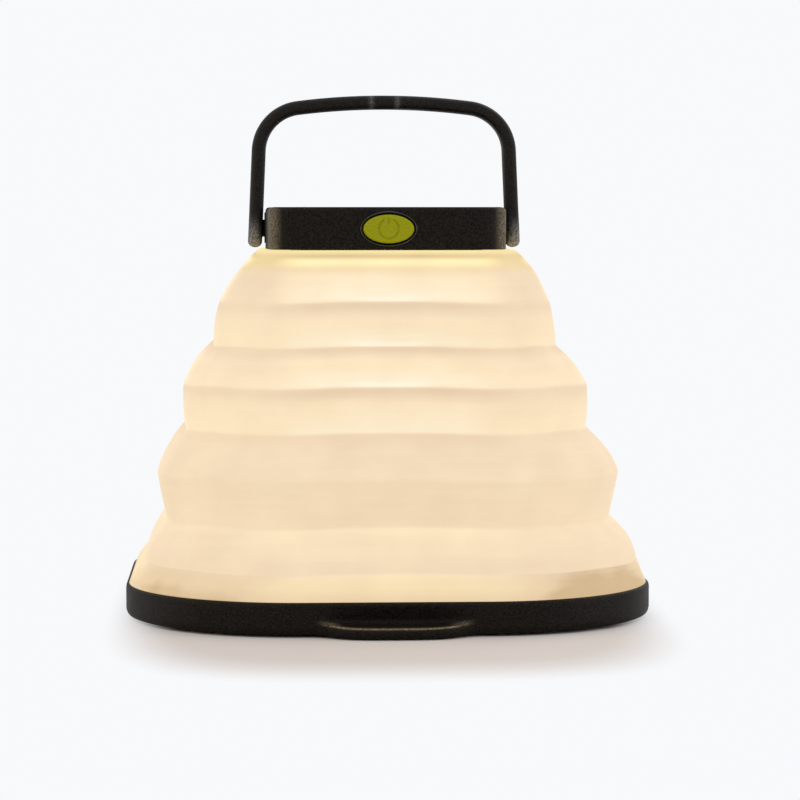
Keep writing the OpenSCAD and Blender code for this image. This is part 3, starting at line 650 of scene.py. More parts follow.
def lighten_in_specks(material, mask, light):
    """Lightens a plastic in specks by as much as a mask, an output of one of its nodes, says."""
    tree = material.node_tree
    colour = tree.nodes["Principled BSDF"].inputs["Base Color"]
    paint = colour.links[0].from_socket
    spot = add(tree, "ShaderNodeTexCoord").outputs["Object"]
    inputs = {"Vector": spot, "Scale": per_metre(SPECK), "Detail": 2.0}
    specks = add(tree, "ShaderNodeTexNoise", inputs).outputs["Fac"]
    limits = {"Value": specks, "From Min": SPECK_FROM, "From Max": SPECK_TO}
    patch = add(tree, "ShaderNodeMapRange", limits).outputs["Result"]
    share = add(tree, "ShaderNodeMath", {0: mask, 1: patch}, operation="MULTIPLY").outputs[0]
    inputs = {"Factor": share, "A": paint, "B": linear(light)}
    lightened = add(tree, "ShaderNodeMix", inputs, data_type="RGBA").outputs["Result"]
    tree.links.new(lightened, colour)


def stand_in(obj, node, body, material):
    """Shows a finer piece in place of a CAD node, on the same body and in the same finish."""
    obj.data.materials.append(material)
    dress(material, node)
    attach(obj, body)
    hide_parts(node)


print("specks of", SPECK, "mm")

# %% [markdown]
# ## Rim with its thumb lip
# The rim is one moulding. At the front it swells into a lip for the thumb, with a hollow over it, and flows
# back into the plain side. A lip added to a plain ring would show a seam, so two sections are drawn
# point for point, one for the plain side and one for the middle of the lip. Each place along the front
# takes a mix of the two, and cutting the corners of both turns them into smooth curves.

# %% Rim mesh
# Half width and height of each point, in millimetres. Both sections start and end inside, at the plate.
# The lip fades to the sides by a power, and the front is where a ring's direction points to -Y.
LIP_HALF, LIP_FLATNESS, LIP_EASE = 14.2, 4, 2
FRONT_WAY = -0.999
RIM_FLAT_STEPS = 64
SECTION_CUTS = 2
PLAIN_SIDE = (
    *((39.5, 2.0), (39.5, 6.0), (45.4, 6.0), (46.3, 6.0), (47.0, 5.8), (47.1, 5.3), (47.1, 4.8)),
    *((47.1, 4.4), (47.1, 4.0), (47.1, 3.7), (47.1, 3.4), (47.1, 3.1), (47.1, 2.9), (47.1, 2.6)),
    *((47.1, 1.2), (46.6, 0.4), (45.0, 0.4), (44.2, 0.4), (44.2, 2.0)),
)
LIP_MIDDLE = (
    *((39.5, 2.0), (39.5, 6.0), (45.4, 6.0), (46.3, 6.0), (47.0, 5.8), (47.0, 5.3), (46.8, 4.8)),
    *((46.6, 4.3), (46.4, 3.8), (46.2, 3.3), (46.1, 2.8), (46.3, 2.3), (47.2, 2.0), (50.7, 2.1)),
    *((51.1, 1.2), (50.7, 0.05), (48.5, 0.03), (44.2, 0.4), (44.2, 2.0)),
)

starts, ways = plan(PLAN_CORE, CORNER_STEPS, RIM_FLAT_STEPS)
off_middle = np.clip(np.abs(starts[:, 0]) / LIP_HALF, 0, 1)
faces_front = ways[:, 1] < FRONT_WAY
lip_share = np.where(faces_front, (1 - off_middle**LIP_FLATNESS) ** LIP_EASE, 0)
plain = rounded(PLAIN_SIDE, SECTION_CUTS)
lip = rounded(LIP_MIDDLE, SECTION_CUTS)
mixed = plain[:, None] + (lip - plain)[:, None] * lip_share[None, :, None]
points = np.dstack([starts[None] + (mixed[:, :, :1] - PLAN_CORE) * ways[None], mixed[:, :, 1]])
rim = make_mesh("rim", points.reshape(-1, 3), ring_faces(len(plain), len(starts), True))
print("rim:", len(rim.data.vertices), "points, front at", round(float(points[:, :, 1].min()), 1), "mm")

# %% Painted highlight on the lip
# The lip's crest gets a strong painted highlight, its two wings a weak one. Limits are millimetres out and
# up.
CREST_OUT, CREST_UP, CREST_SPAN = (49.9, 50.5), (1.74, 1.9), (0.3, 0.7)
WING_OUT, WING_UP, WING_BELOW = (46.2, 47.5), (1.8, 1.95), 3
WING_START, WING_END, WING_HIGHLIGHT = (0.0, 0.3), (0.4, 0.75), 0.35

out, up = lip.T
crest = smooth(out, *CREST_OUT) * smooth(up, *CREST_UP)
wing = WING_HIGHLIGHT * smooth(out, *WING_OUT) * smooth(up, *WING_UP) * (up < WING_BELOW)
lightening = np.outer(crest, smooth(lip_share, *CREST_SPAN))
lightening += np.outer(wing, smooth(lip_share, *WING_START) * (1 - smooth(lip_share, *WING_END)))
store(rim, "lightening", lightening)
rim_abs = moulded_plastic("black_abs_painted_lip_highlight", ABS_DARK, ABS_LIGHT, gloss=ABS_GLOSS)
stored = add(rim_abs.node_tree, "ShaderNodeAttribute", attribute_name="lightening").outputs["Fac"]
# 9a886c is the warm colour of the painted highlight on the lip.
lighten_in_specks(rim_abs, stored, "#9a886c")
stand_in(rim, "base_rim", "base", rim_abs)
print("lip rubbed on", int((lightening > 0.5).sum()), "points")

# %% [markdown]
# ## Handle
# The handle is a flat strip bent over the cap: a gentle crown, two tight corners and two legs that splay a
# little and end in round feet on the pivots. A sweep with one fixed section would leave the feet as
# discs stuck on, so the section changes along the way: it narrows at the saddle in the crown and
# widens and closes round each foot. The feet are drawn lighter in specks, and the saddle's edges get a
# painted highlight.

# %% Handle path
# Millimetres, in the plane of the handle: x to the right and z up. Half of the path is drawn.
PIVOT_X, PIVOT_Z, HANDLE_TOP = 23.7, 69.4, 93.67
STRIP_T, STRIP_D = 2.6, 5.0
CROWN_R, CORNER_R, SPLAY = 125.0, 8.2, math.radians(2.5)
EYE_R = 3.6
CROWN_STEPS, BEND_STEPS, LEG_STEPS = 40, 28, 60

strip_z = HANDLE_TOP - STRIP_T / 2
leg_x = PIVOT_X - (strip_z - CORNER_R - PIVOT_Z) * math.tan(SPLAY)
crown_turn = math.asin((leg_x - CORNER_R) / (CROWN_R - CORNER_R))
crown_middle = np.array((0, strip_z - CROWN_R))
bend = crown_middle + (CROWN_R - CORNER_R) * np.array((math.sin(crown_turn), math.cos(crown_turn)))
half, half_tangents = [], []
for angle in np.linspace(0, crown_turn, CROWN_STEPS, endpoint=False):
    half.append(crown_middle + CROWN_R * np.array((math.sin(angle), math.cos(angle))))
    half_tangents.append((math.cos(angle), -math.sin(angle)))
for angle in np.linspace(crown_turn, math.pi / 2 - SPLAY, BEND_STEPS):
    half.append(bend + CORNER_R * np.array((math.sin(angle), math.cos(angle))))
    half_tangents.append((math.cos(angle), -math.sin(angle)))
down = np.array((math.sin(SPLAY), -math.cos(SPLAY)))
bend_end = half[-1]
leg_end = (PIVOT_Z - bend_end[1]) / down[1] + EYE_R
leg_steps = leg_end * np.sin(np.linspace(0, math.pi / 2, LEG_STEPS)[1:])
half = np.array(half + [bend_end + down * step for step in leg_steps])
half_tangents = np.array(half_tangents + [down] * len(leg_steps))
print("half of the handle:", len(half), "steps, from z", round(half[0][1], 1), "to", round(half[-1][1], 1))

# %% [markdown]
# ## The handle's changing section
# At each step of the path the section needs a thickness, in the plane of the handle, and a depth from
# front to back. Both come from the height over the pivot: the depth is the strip's or the round foot's,
# whichever is larger, eased together by a high power, and the thickness closes at the tip. The section
# itself is a squarish oval, which is what a strip with well-rounded edges looks like when it is cut.

# %% Depth and thickness along the handle
SADDLE_DEPTH, SADDLE_FLAT, SADDLE_HALF = 0.7, 1.5, 2.4
BLEND_POWER = 8
# The foot's last FOOT_TIP millimetres close to nearly nothing, since points on each other would be joined.
FOOT_TIP, TIP_FULL = 1.1, 0.999
LEAST = 1e-4

path = np.vstack([half[:0:-1] * (-1, 1), half])
tangents = np.vstack([half_tangents[:0:-1] * (1, -1), half_tangents])
over_pivot = path[:, 1] - PIVOT_Z
off_crown = np.abs(path[:, 0])
eye = np.sqrt(np.clip(EYE_R**2 - over_pivot**2, LEAST, None))
saddle = SADDLE_DEPTH * (1 - smooth(off_crown, SADDLE_FLAT, SADDLE_HALF))
strip = np.where(over_pivot > 0, STRIP_D / 2 - saddle, 0)
depth = (eye**BLEND_POWER + strip**BLEND_POWER) ** (1 / BLEND_POWER)
depth = np.minimum(np.where(over_pivot < EYE_R, depth, strip), EYE_R)
into_tip = np.clip((-over_pivot - EYE_R + FOOT_TIP) / FOOT_TIP, 0, TIP_FULL)
thick = STRIP_T / 2 * np.sqrt(1 - into_tip**2)
print("handle depth from", round(2 * depth.min(), 2), "to", round(2 * depth.max(), 2), "mm")

# %% Handle mesh
SECTION_STEPS, SECTION_POWER = 28, 2.7
# Radius and distance from the middle along each moulded peg, in millimetres.
PEG = ((0.5, 18.35), (1.25, 18.35), (1.75, 19.4), (1.5, 19.5), (1.5, 23.0))

angles = round_angles(SECTION_STEPS)
circle = np.column_stack([np.cos(angles), np.sin(angles)])
ring = np.sign(circle) * np.abs(circle) ** (2 / SECTION_POWER)
normals = np.column_stack([-tangents[:, 1], tangents[:, 0]])
swept = np.empty((len(path), SECTION_STEPS, 3))
swept[:, :, ::2] = path[:, None] + normals[:, None] * (thick[:, None] * ring[None, :, 0])[:, :, None]
swept[:, :, 1] = depth[:, None] * ring[None, :, 1]
points = swept.reshape(-1, 3).tolist()
faces = tube_faces(len(path), SECTION_STEPS)
for side in (-1, 1):
    faces += numbered_from(len(points), tube_faces(len(PEG), SECTION_STEPS))
    points += [(side * x, r * math.cos(a), PIVOT_Z + r * math.sin(a)) for r, x in PEG for a in angles]
handle = make_mesh("swept_handle", points, faces)
print("handle:", len(handle.data.vertices), "points")

# %% Lighter feet and painted highlight on the handle
# The feet are lighter in specks on their narrow sides, up to a little over the pivot, and the saddle's
# edges get a painted highlight.
LIGHTER_FEET_Z, NARROW_SIDE = (-3.2, 2.5), (0.45, 0.85)
SADDLE_EDGE_MM, SADDLE_HIGHLIGHT = 0.4, 0.3

saddle_edge = np.exp(-(((off_crown - SADDLE_HALF) / SADDLE_EDGE_MM) ** 2)) * (over_pivot > EYE_R)
lightening = np.outer(1 - smooth(over_pivot, *LIGHTER_FEET_Z), smooth(np.abs(ring[:, 1]), *NARROW_SIDE))
lightening += SADDLE_HIGHLIGHT * saddle_edge[:, None]
store(handle, "lightening", np.append(lightening, np.zeros(len(points) - lightening.size)))
handle_abs = moulded_plastic("black_abs_light_feet_saddle_highlight", "#0f0c09", "#221e1a", gloss=0.1)
stored = add(handle_abs.node_tree, "ShaderNodeAttribute", attribute_name="lightening").outputs["Fac"]
# a5a19e is the grey of the lighter feet and of the painted highlight on the saddle's edges.
lighten_in_specks(handle_abs, stored, "#a5a19e")
stand_in(handle, "handle", "handle", handle_abs)
print("handle rubbed on", int((lightening > 0.5).sum()), "points")

# %% [markdown]
# ## Cheeks of the cap
# The cap's two sides swell a little round the handle's pivots, so that they meet the legs without a step. The
# solid cap has plain sides, so the swell is a piece of its own on each side: one section with a
# rounded top edge, pushed out most at the pivot and fading into the side before the corners.

# %% Cap cheeks
# Millimetres. The cheek reaches CHEEK_DEEP into the cap at its top and CHEEK_UNDER at its foot.
CAP_HALF_X, CAP_HALF_Y, CAP_CORNER = 21.1, 19.6, 5.0
CHEEK_HALF_Y, CHEEK_SWELL, CHEEK_SINK = 17.0, 0.82, 0.06
CHEEK_LOW, CHEEK_TOP = 65.65, 73.15
CHEEK_DEEP, CHEEK_UNDER, CHEEK_TAIL = 1.7, 0.3, 0.7
CHEEK_ROUND, CHEEK_CUTS = (1.65, 1.7), 4
CHEEK_STEPS, CHEEK_POWER = 81, 3

y = np.linspace(-CHEEK_HALF_Y, CHEEK_HALF_Y, CHEEK_STEPS)
past_flat = np.clip(np.abs(y) - (CAP_HALF_Y - CAP_CORNER), 0, None)
wall_x = CAP_HALF_X - CAP_CORNER + np.sqrt(CAP_CORNER**2 - past_flat**2)
swell = CHEEK_SWELL * (1 - (np.abs(y) / CHEEK_HALF_Y) ** CHEEK_POWER) - CHEEK_SINK
top_edge = ((0.0, CHEEK_TOP - CHEEK_ROUND[1]), (0.0, CHEEK_TOP), (-CHEEK_ROUND[0], CHEEK_TOP))
cheek = [(-CHEEK_UNDER, CHEEK_LOW), (0.0, CHEEK_LOW)] + rounded(top_edge, CHEEK_CUTS).tolist()
cheek += [(-CHEEK_DEEP, CHEEK_TOP), (-CHEEK_DEEP, CHEEK_TOP - CHEEK_TAIL)]
points, faces = [], []
for side in (1, -1):
    faces += numbered_from(len(points), tube_faces(CHEEK_STEPS, len(cheek)))
    points += [(side * (x + dx), yy, z) for yy, x in zip(y, wall_x + swell) for dx, z in cheek]
cheeks = make_mesh("cap_cheeks", points, faces)
print("cheeks:", len(cheeks.data.vertices), "points")

# %% [markdown]
# ## Bore through the cheeks
# The handle's pegs pass through the cheeks, so each needs a round hole. Cutting it into the grid by hand
# would mean a new mesh round the hole, so a boolean takes a cylinder away. Its result is kept as a plain
# mesh, the cylinder is deleted, and the hole's edges are marked sharp, so that they don't smear the
# smooth shading.

# %% Bore
BORE_R, BORE_END, BORE_STEPS = 2.6, 24.0, 48
SHARP_EDGE = math.radians(40)

angles = round_angles(BORE_STEPS)
ends = (-BORE_END, BORE_END)
points = [(x, BORE_R * math.cos(a), PIVOT_Z + BORE_R * math.sin(a)) for x in ends for a in angles]
drill = make_mesh("drill", points, tube_faces(len(ends), BORE_STEPS))
cut = cheeks.modifiers.new("bore", "BOOLEAN")
cut.object = drill
cut.operation = "DIFFERENCE"
cut.solver = "EXACT"
bored = bpy.data.meshes.new_from_object(cheeks.evaluated_get(bpy.context.evaluated_depsgraph_get()))
cheeks.modifiers.clear()
turn_outward(bored)
cheeks.data = bored
bored.set_sharp_from_angle(angle=SHARP_EDGE)
bpy.data.objects.remove(drill)
print("bored cheeks:", len(bored.vertices), "points")

# %% [markdown]
# ## Painted sheen on the cap's corners
# A warm sheen of light on the cap's corners is painted into the plastic's colour, in specks, on all four
# corners. The cap is a CAD node, whose mesh stays as it is, so no mask is stored on its points. The mask is
# a distance instead: the position, mirrored into one corner, measured along a direction that points to
# the side of the corner. Cap and cheeks share it, so the painted sheen runs on from one to the other.

# %% Painted sheen on the corners
CORNER_WAY = (0.94, 0.342, 0.0)
CORNER_FROM, CORNER_FULL = 24.1, 25.5

cap_abs = moulded_plastic("black_abs_painted_corner_sheen", ABS_DARK, ABS_LIGHT, gloss=ABS_GLOSS)
tree = cap_abs.node_tree
spot = add(tree, "ShaderNodeTexCoord").outputs["Object"]
mirrored = add(tree, "ShaderNodeVectorMath", {0: spot}, operation="ABSOLUTE").outputs["Vector"]
inputs = {0: mirrored, 1: CORNER_WAY}
distance = add(tree, "ShaderNodeVectorMath", inputs, operation="DOT_PRODUCT").outputs["Value"]
limits = {"Value": distance, "From Min": CORNER_FROM * MM, "From Max": CORNER_FULL * MM}
corner_sheen_mask = add(tree, "ShaderNodeMapRange", limits, interpolation_type="SMOOTHSTEP").outputs["Result"]
# 7d725c is the warm colour of the painted sheen.
lighten_in_specks(cap_abs, corner_sheen_mask, "#7d725c")
dress(cap_abs, "cap_housing")
cheeks.data.materials.append(cap_abs)
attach(cheeks, "head")
print("cap finish:", cap_abs.name)

# %% [markdown]
# ## Rubber
# The button is coloured silicone rubber from a satin mould, the foot and the socket's flap are black rubber.
# Rubber is rougher than ABS and has a soft, even sheen, so it shares the grained tree with other values.

# %% Rubbers
# Moulded silicone with a satin skin: an even yellow-green that hardly sparkles.
green_rubber = moulded_plastic(
    "green_rubber", "#858700", "#949600", grain=0.25, rough=(0.42, 0.5), relief=0.1, gloss=0.14
)
# Pressed rubber from a sand-blasted mould: matt, with a grain that can be felt.
foot_rubber = moulded_plastic(
    "foot_rubber", "#191817", "#242321", grain=0.4, rough=(0.7, 0.85), relief=0.4, gloss=0.15
)
# Thin soft rubber from a smoother mould: a little warmer and less matt than the foot.
flap_rubber = moulded_plastic(
    "flap_rubber", "#1b1917", "#24211f", grain=0.25, rough=(0.6, 0.75), relief=0.2, gloss=0.18
)
FLAP_EDGE = 0.15
dress(flap_rubber, "usb_cover")
flap_edge = nodes["usb_cover"].modifiers.new("moulded_edge", "BEVEL")
flap_edge.width = FLAP_EDGE * MM
flap_edge.segments = 3
flap_edge.limit_method = "ANGLE"
print("rubbers:", green_rubber.name, foot_rubber.name, flap_rubber.name)

# %% [markdown]
# ## Power button
# The button is an oval with a rounded edge and the usual power sign sunk into its face: a ring that is open
# at the top and a stroke in the opening. The face is a grid of ovals one inside the other, close
# enough together to carry the sign as real depth. Behind it a stem and two ears hold it in the cap.

# %% Face of the button
# Millimetres. The face is drawn from its centre out, and the sign is sunk into it with soft edges.
BUTTON_HALF, BUTTON_EDGE = np.array((4.52, 2.57)), 0.35
BUTTON_FRONT, BUTTON_BACK, BUTTON_Z = -20.0, -18.8, 69.3
SIGN_R, SIGN_HALF, SIGN_DEPTH, SIGN_GAP = 1.75, 0.14, 0.16, 0.8
SIGN_SOFT_IN, SIGN_SOFT_OUT = 0.06, 0.08
STROKE_LOW = 0.85
FACE_ROWS, OVAL_STEPS, FACE_CENTRE = 80, 180, 0.002
FAR_OFF = 9.0

angles = round_angles(OVAL_STEPS)
oval = np.column_stack([np.cos(angles), np.sin(angles)])
face_rows = np.linspace(1, FACE_CENTRE, FACE_ROWS)[::-1]
face = face_rows[:, None, None] * (oval * (BUTTON_HALF - BUTTON_EDGE))[None]
x, z = face[:, :, 0], face[:, :, 1]
in_gap = (np.abs(x) < SIGN_GAP) & (z > 0)
off_ring = np.where(in_gap, FAR_OFF, np.abs(np.hypot(x, z) - SIGN_R))
off_stroke = np.hypot(x, z - np.clip(z, STROKE_LOW, SIGN_R))
off_sign = np.minimum(off_ring, off_stroke)
sunk = SIGN_DEPTH * (1 - smooth(off_sign, SIGN_HALF - SIGN_SOFT_IN, SIGN_HALF + SIGN_SOFT_OUT))
face_points = np.dstack([x, BUTTON_FRONT + sunk, z + BUTTON_Z])
print("button face:", face_points.shape[0], "ovals, sign", SIGN_DEPTH, "mm deep")

# %% Edge, stem and ears of the button
EDGE_STEPS = 8
# Ranges of x, y and z of two plain blocks behind the face.
STEM = ((-3.05, 3.05), (-18.9, -17.9), (67.4, 71.2))
EARS = ((-6.0, 6.0), (-17.95, -17.2), (67.4, 71.2))
BLOCK_FACES = ((0, 1, 3, 2), (4, 6, 7, 5), (0, 4, 5, 1), (2, 3, 7, 6), (0, 2, 6, 4), (1, 5, 7, 3))


def upright_oval(half, depth):
    """Ring of points on an oval that stands upright at one depth of the cap's front."""
    ring = oval * half
    return np.column_stack([ring[:, 0], np.full(OVAL_STEPS, depth), ring[:, 1] + BUTTON_Z])[None]


rows = [face_points]
for a in np.linspace(0, math.pi / 2, EDGE_STEPS + 1)[1:]:
    half_here = BUTTON_HALF - BUTTON_EDGE * (1 - math.sin(a))
    rows.append(upright_oval(half_here, BUTTON_FRONT + BUTTON_EDGE * (1 - math.cos(a))))
rows.append(upright_oval(BUTTON_HALF, BUTTON_BACK))
rows = np.vstack(rows)
points = rows.reshape(-1, 3).tolist()
faces = tube_faces(len(rows), OVAL_STEPS)
for block in (STEM, EARS):
    faces += numbered_from(len(points), BLOCK_FACES)
    points += [(x, y, z) for x in block[0] for y in block[1] for z in block[2]]
button = make_mesh("button", points, faces)
stand_in(button, "power_button", "button", green_rubber)
print("button:", len(button.data.vertices), "points")

# %% [markdown]
# ## Bead round the button
# A thin raised bead of polished black runs round the button's opening. It is a small rounded section carried
# round an oval, with a long slope on the inside, so that the gap stays dark and only the crest shines.

# %% Bead
# Distance out from the button and height over the cap's front, in millimetres.
BEAD = ((0.26, 0.0), (0.28, 0.1), (0.42, 0.26), (0.52, 0.26), (0.60, 0.12), (0.62, 0.0))
BEAD_STEPS, BEAD_CUTS = 120, 2

angles = round_angles(BEAD_STEPS)
rows = []
for out, up in rounded(BEAD, BEAD_CUTS):
    half_x, half_z = BUTTON_HALF + out
    depth_here = np.full(BEAD_STEPS, -CAP_HALF_Y - up)
    rows.append(np.column_stack([half_x * np.cos(angles), depth_here, BUTTON_Z + half_z * np.sin(angles)]))
bead = make_mesh("button_bead", np.vstack(rows), ring_faces(len(rows), BEAD_STEPS, True))
# The same ABS from a polished part of the mould: it keeps a thin clear highlight.
polished_abs = moulded_plastic(
    "polished_black_abs", "#0d0b0a", "#151311", rough=(0.18, 0.26), relief=0.03, gloss=0.5
)
bead.data.materials.append(polished_abs)
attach(bead, "head")
print("bead:", len(bead.data.vertices), "points")

# %% [markdown]
# ## Foot
# The rubber foot grips the table with ridges. Seen from below it is a rounded square with three grooves one
# inside the other, so it is a stack of rings again, whose underside rises into each groove.

# %% Foot pad
# Half widths and heights in millimetres.
FOOT_CORE, PAD_HALF, PAD_TOP = 20.0, 30.0, 1.0
PAD_CENTRE, PAD_ROUND, PAD_CUTS = 20.4, 0.3, 3
GROOVES, GROOVE_HALF, GROOVE_DEPTH = (22.5, 25.0, 27.5), 0.55, 0.3
GROOVE_SOFT_IN, GROOVE_SOFT_OUT = 0.25, 0.1
PAD_STEPS, UNDER_STEPS = 12, 90

starts, ways = plan(FOOT_CORE, PAD_STEPS, PAD_STEPS)
under = np.linspace(PAD_CENTRE, PAD_HALF - PAD_ROUND, UNDER_STEPS)[:-1]
off_groove = np.abs(under[:, None] - np.array(GROOVES)[None]).min(1)
lift = GROOVE_DEPTH * (1 - smooth(off_groove, GROOVE_HALF - GROOVE_SOFT_IN, GROOVE_HALF + GROOVE_SOFT_OUT))
pad_edge = rounded(((PAD_HALF - PAD_ROUND, 0.0), (PAD_HALF, 0.0), (PAD_HALF, PAD_TOP)), PAD_CUTS)
rows = np.vstack([np.column_stack([under, lift]), pad_edge, [(PAD_CENTRE, PAD_TOP)]])[::-1]
ring_xy = starts[None] + (rows[:, None, :1] - FOOT_CORE) * ways[None]
points = np.dstack([ring_xy, np.repeat(rows[:, 1:], len(starts), 1)])
foot_pad = make_mesh("ridged_foot", points.reshape(-1, 3), tube_faces(len(rows), len(starts)))
stand_in(foot_pad, "foot_pad", "base", foot_rubber)
print("foot pad:", len(foot_pad.data.vertices), "points,", len(GROOVES), "grooves")

# %% [markdown]
# ## Metals inside
# The metals are hardly seen from outside, but each has its own finish: zinc-plated screws, a drawn steel
# socket and the foil pouch of the cell. Metal shows its making as fine lines or creases, so one noise,
# stretched along X, changes both the colour and the roughness a little.

# %% Bare metal
LINE_STRETCH = (0.08, 1.0, 1.0)
LINE_DARK_AT, LINE_LIGHT_AT = 0.3, 0.7


def bare_metal(name, dark, light, grain, rough):
    """Metal with fine drawn lines along X. The grain is in millimetres."""
    material, tree, shader = new_finish(name, Metallic=1.0)
    spot = add(tree, "ShaderNodeTexCoord").outputs["Object"]
    stretched = add(tree, "ShaderNodeMapping", {"Vector": spot, "Scale": LINE_STRETCH}).outputs["Vector"]
    inputs = {"Vector": stretched, "Scale": per_metre(grain), "Detail": 4.0}
    lines = add(tree, "ShaderNodeTexNoise", inputs).outputs["Fac"]
    stops = [(LINE_DARK_AT, linear(dark)), (LINE_LIGHT_AT, linear(light))]
    paint = add(tree, "ShaderNodeValToRGB", {"Fac": lines}, stops).outputs["Color"]
    tree.links.new(paint, shader.inputs["Base Color"])
    limits = {"Value": lines, "To Min": rough[0], "To Max": rough[1]}
    dull = add(tree, "ShaderNodeMapRange", limits).outputs["Result"]
    tree.links.new(dull, shader.inputs["Roughness"])
    return material


# Headed wire, tumbled in a zinc bath: a cool grey that shines softly.
zinc_steel = bare_metal("zinc_plated_steel", "#a9abae", "#c9cbcd", grain=0.4, rough=(0.28, 0.45))
# Sheet drawn through a die: fine bright lines along the shell.
drawn_steel = bare_metal("drawn_steel", "#9fa1a4", "#c2c4c6", grain=0.15, rough=(0.2, 0.4))
# Aluminium foil heat-sealed over the cell: bright, with slow creases.
foil_pouch = bare_metal("foil_pouch", "#bfc2c5", "#d5d7d9", grain=1.5, rough=(0.25, 0.42))
dress(zinc_steel, "cap_screws")
dress(drawn_steel, "usb_socket")
dress(foil_pouch, "battery")
print("metals:", zinc_steel.name, drawn_steel.name, foil_pouch.name)

# %% [markdown]
# ## Base screws
# Eight pan-head screws with a cross recess are seen from below. One screw is a turned profile, whose rings
# lie close together under the head, where the cross is pushed in. It is then set at eight places.

# %% One screw
# Millimetres. The head is under the base and the tip points up.
HEAD_R, HEAD_LOW, HEAD_TOP = 1.8, 0.45, 1.4
HEAD_CENTRE, HEAD_ROUND, HEAD_STEPS, HEAD_CUTS = 0.02, 0.3, 30, 3
SHANK_R, TIP_Z, TIP_HEIGHT, TIP_TAPER = 1.0, 7.5, 0.3, 0.4
CROSS_REACH, CROSS_HALF, CROSS_DEPTH = 1.05, 0.22, 0.6
CROSS_END_SOFT, ARM_SOFT_IN, ARM_SOFT_OUT = 0.3, 0.08, 0.06
FACE_BAND = 0.01
SCREW_STEPS = 64

flat_r = HEAD_R - HEAD_ROUND
head = [(r, HEAD_LOW) for r in np.linspace(HEAD_CENTRE, flat_r, HEAD_STEPS)[:-1]]
head += rounded(((flat_r, HEAD_LOW), (HEAD_R, HEAD_LOW), (HEAD_R, HEAD_TOP)), HEAD_CUTS).tolist()
shank = [(SHANK_R, HEAD_TOP), (SHANK_R, TIP_Z - TIP_HEIGHT), (SHANK_R - TIP_TAPER, TIP_Z)]
profile = np.array(head + shank)[::-1]
angles = round_angles(SCREW_STEPS)
screw = np.array([(r * math.cos(a), r * math.sin(a), z) for r, z in profile for a in angles])
along_arm = np.abs(screw[:, :2]).max(1)
off_arm = np.abs(screw[:, :2]).min(1)
pressed = 1 - smooth(along_arm, CROSS_REACH - CROSS_END_SOFT, CROSS_REACH)
pressed *= 1 - smooth(off_arm, CROSS_HALF - ARM_SOFT_IN, CROSS_HALF + ARM_SOFT_OUT)
screw[:, 2] += np.where(screw[:, 2] < HEAD_LOW + FACE_BAND, CROSS_DEPTH * pressed, 0)
print("one screw:", len(screw), "points")

# %% Eight screws
SCREW_OUT, SCREW_SIDE = 41.8, 14.0

screw_faces = tube_faces(len(profile), SCREW_STEPS)
points, faces = [], []
for quarter in range(4):
    for side in (-SCREW_SIDE, SCREW_SIDE):
        x, y = ((SCREW_OUT, side), (side, SCREW_OUT), (-SCREW_OUT, side), (side, -SCREW_OUT))[quarter]
        faces += numbered_from(len(points), screw_faces)
        points += (screw + (x, y, 0)).tolist()
screws = make_mesh("cross_screws", points, faces)
stand_in(screws, "base_screws", "base", zinc_steel)
print("screws:", len(screws.data.vertices), "points")

# %% [markdown]
# ## Plastics, boards and wires inside
# The pieces inside keep their solids and only need finishes. All of them are smooth or finely grained
# surfaces, so they share the grained tree of the ABS, and a table says what makes each one different. A table
# is easier to read and to change than a block of code for each. The lamps also glow.

# %% Inner finishes
# Name, two colours, grain in millimetres, roughness, relief, gloss and the nodes that wear the finish. The
# grain of boards, sheet and lamps is drawn coarser than the real one, so that it shows.
INNER_FINISHES = (
    # Moulded white plastic from a fine-grained mould: bright and matt.
    ("white_abs", "#dcdad5", "#e6e4df", 0.3, (0.45, 0.6), 0.2, 0.3, ("neck_ring",)),
    # Extruded white sheet: nearly flat, with a soft gloss that throws light back.
    ("white_reflector_sheet", "#e6e5e2", "#efeeeb", 0.6, (0.25, 0.35), 0.05, 0.5, ("reflector_plate",)),
    # Nylon moulded in a small steel mould: an even, slightly waxy grey.
    ("grey_nylon", "#3a3a3b", "#474748", 0.25, (0.5, 0.6), 0.2, 0.3, ("switch_body", "switch_plunger")),
    # Foam tape cut from a block: open pores, so it has strong relief and hardly any gloss.
    ("grey_foam", "#2b2b2b", "#4a4a49", 0.5, (0.85, 0.95), 0.9, 0.05, ("battery_tape",)),
    # Lacquer printed over glass cloth and cured: glossy green, with the weave faintly under it.
    ("green_solder_mask", "#0f4524", "#17552e", 0.9, (0.25, 0.4), 0.1, 0.5, ("control_board",)),
    # The same lacquer in white, so that the board reflects the lamps.
    ("white_solder_mask", "#dededb", "#e8e8e5", 0.9, (0.3, 0.4), 0.1, 0.5, ("led_board",)),
    # PVC extruded over wire strands: a smooth red skin with a long soft highlight.
    ("pvc_wire_skin", "#7d1513", "#8f1d19", 0.3, (0.35, 0.5), 0.1, 0.4, ("battery_wires", "led_wires")),
    # Polycarbonate from a blasted mould: white and frosted, so that the lamps don't show as points.
    ("frosted_polycarbonate", "#e9e4d8", "#f3efe5", 0.4, (0.45, 0.55), 0.3, 0.4, ("led_lens",)),
    # Yellow gel cast over the chip: glossy and warm.
    ("lamp_gel", "#f0c860", "#ffe08c", 0.3, (0.2, 0.3), 0.05, 0.5, ("leds",)),
)

inner_finish = {}
for name, dark, light, grain, rough, relief, gloss, worn_by in INNER_FINISHES:
    inner_finish[name] = moulded_plastic(name, dark, light, grain, rough, relief, gloss)
    dress(inner_finish[name], *worn_by)
print("inner finishes:", list(inner_finish))

# %% Glow of the lamps
LAMP_LIGHT, LAMP_STRENGTH = "#ffedc0", 2.0

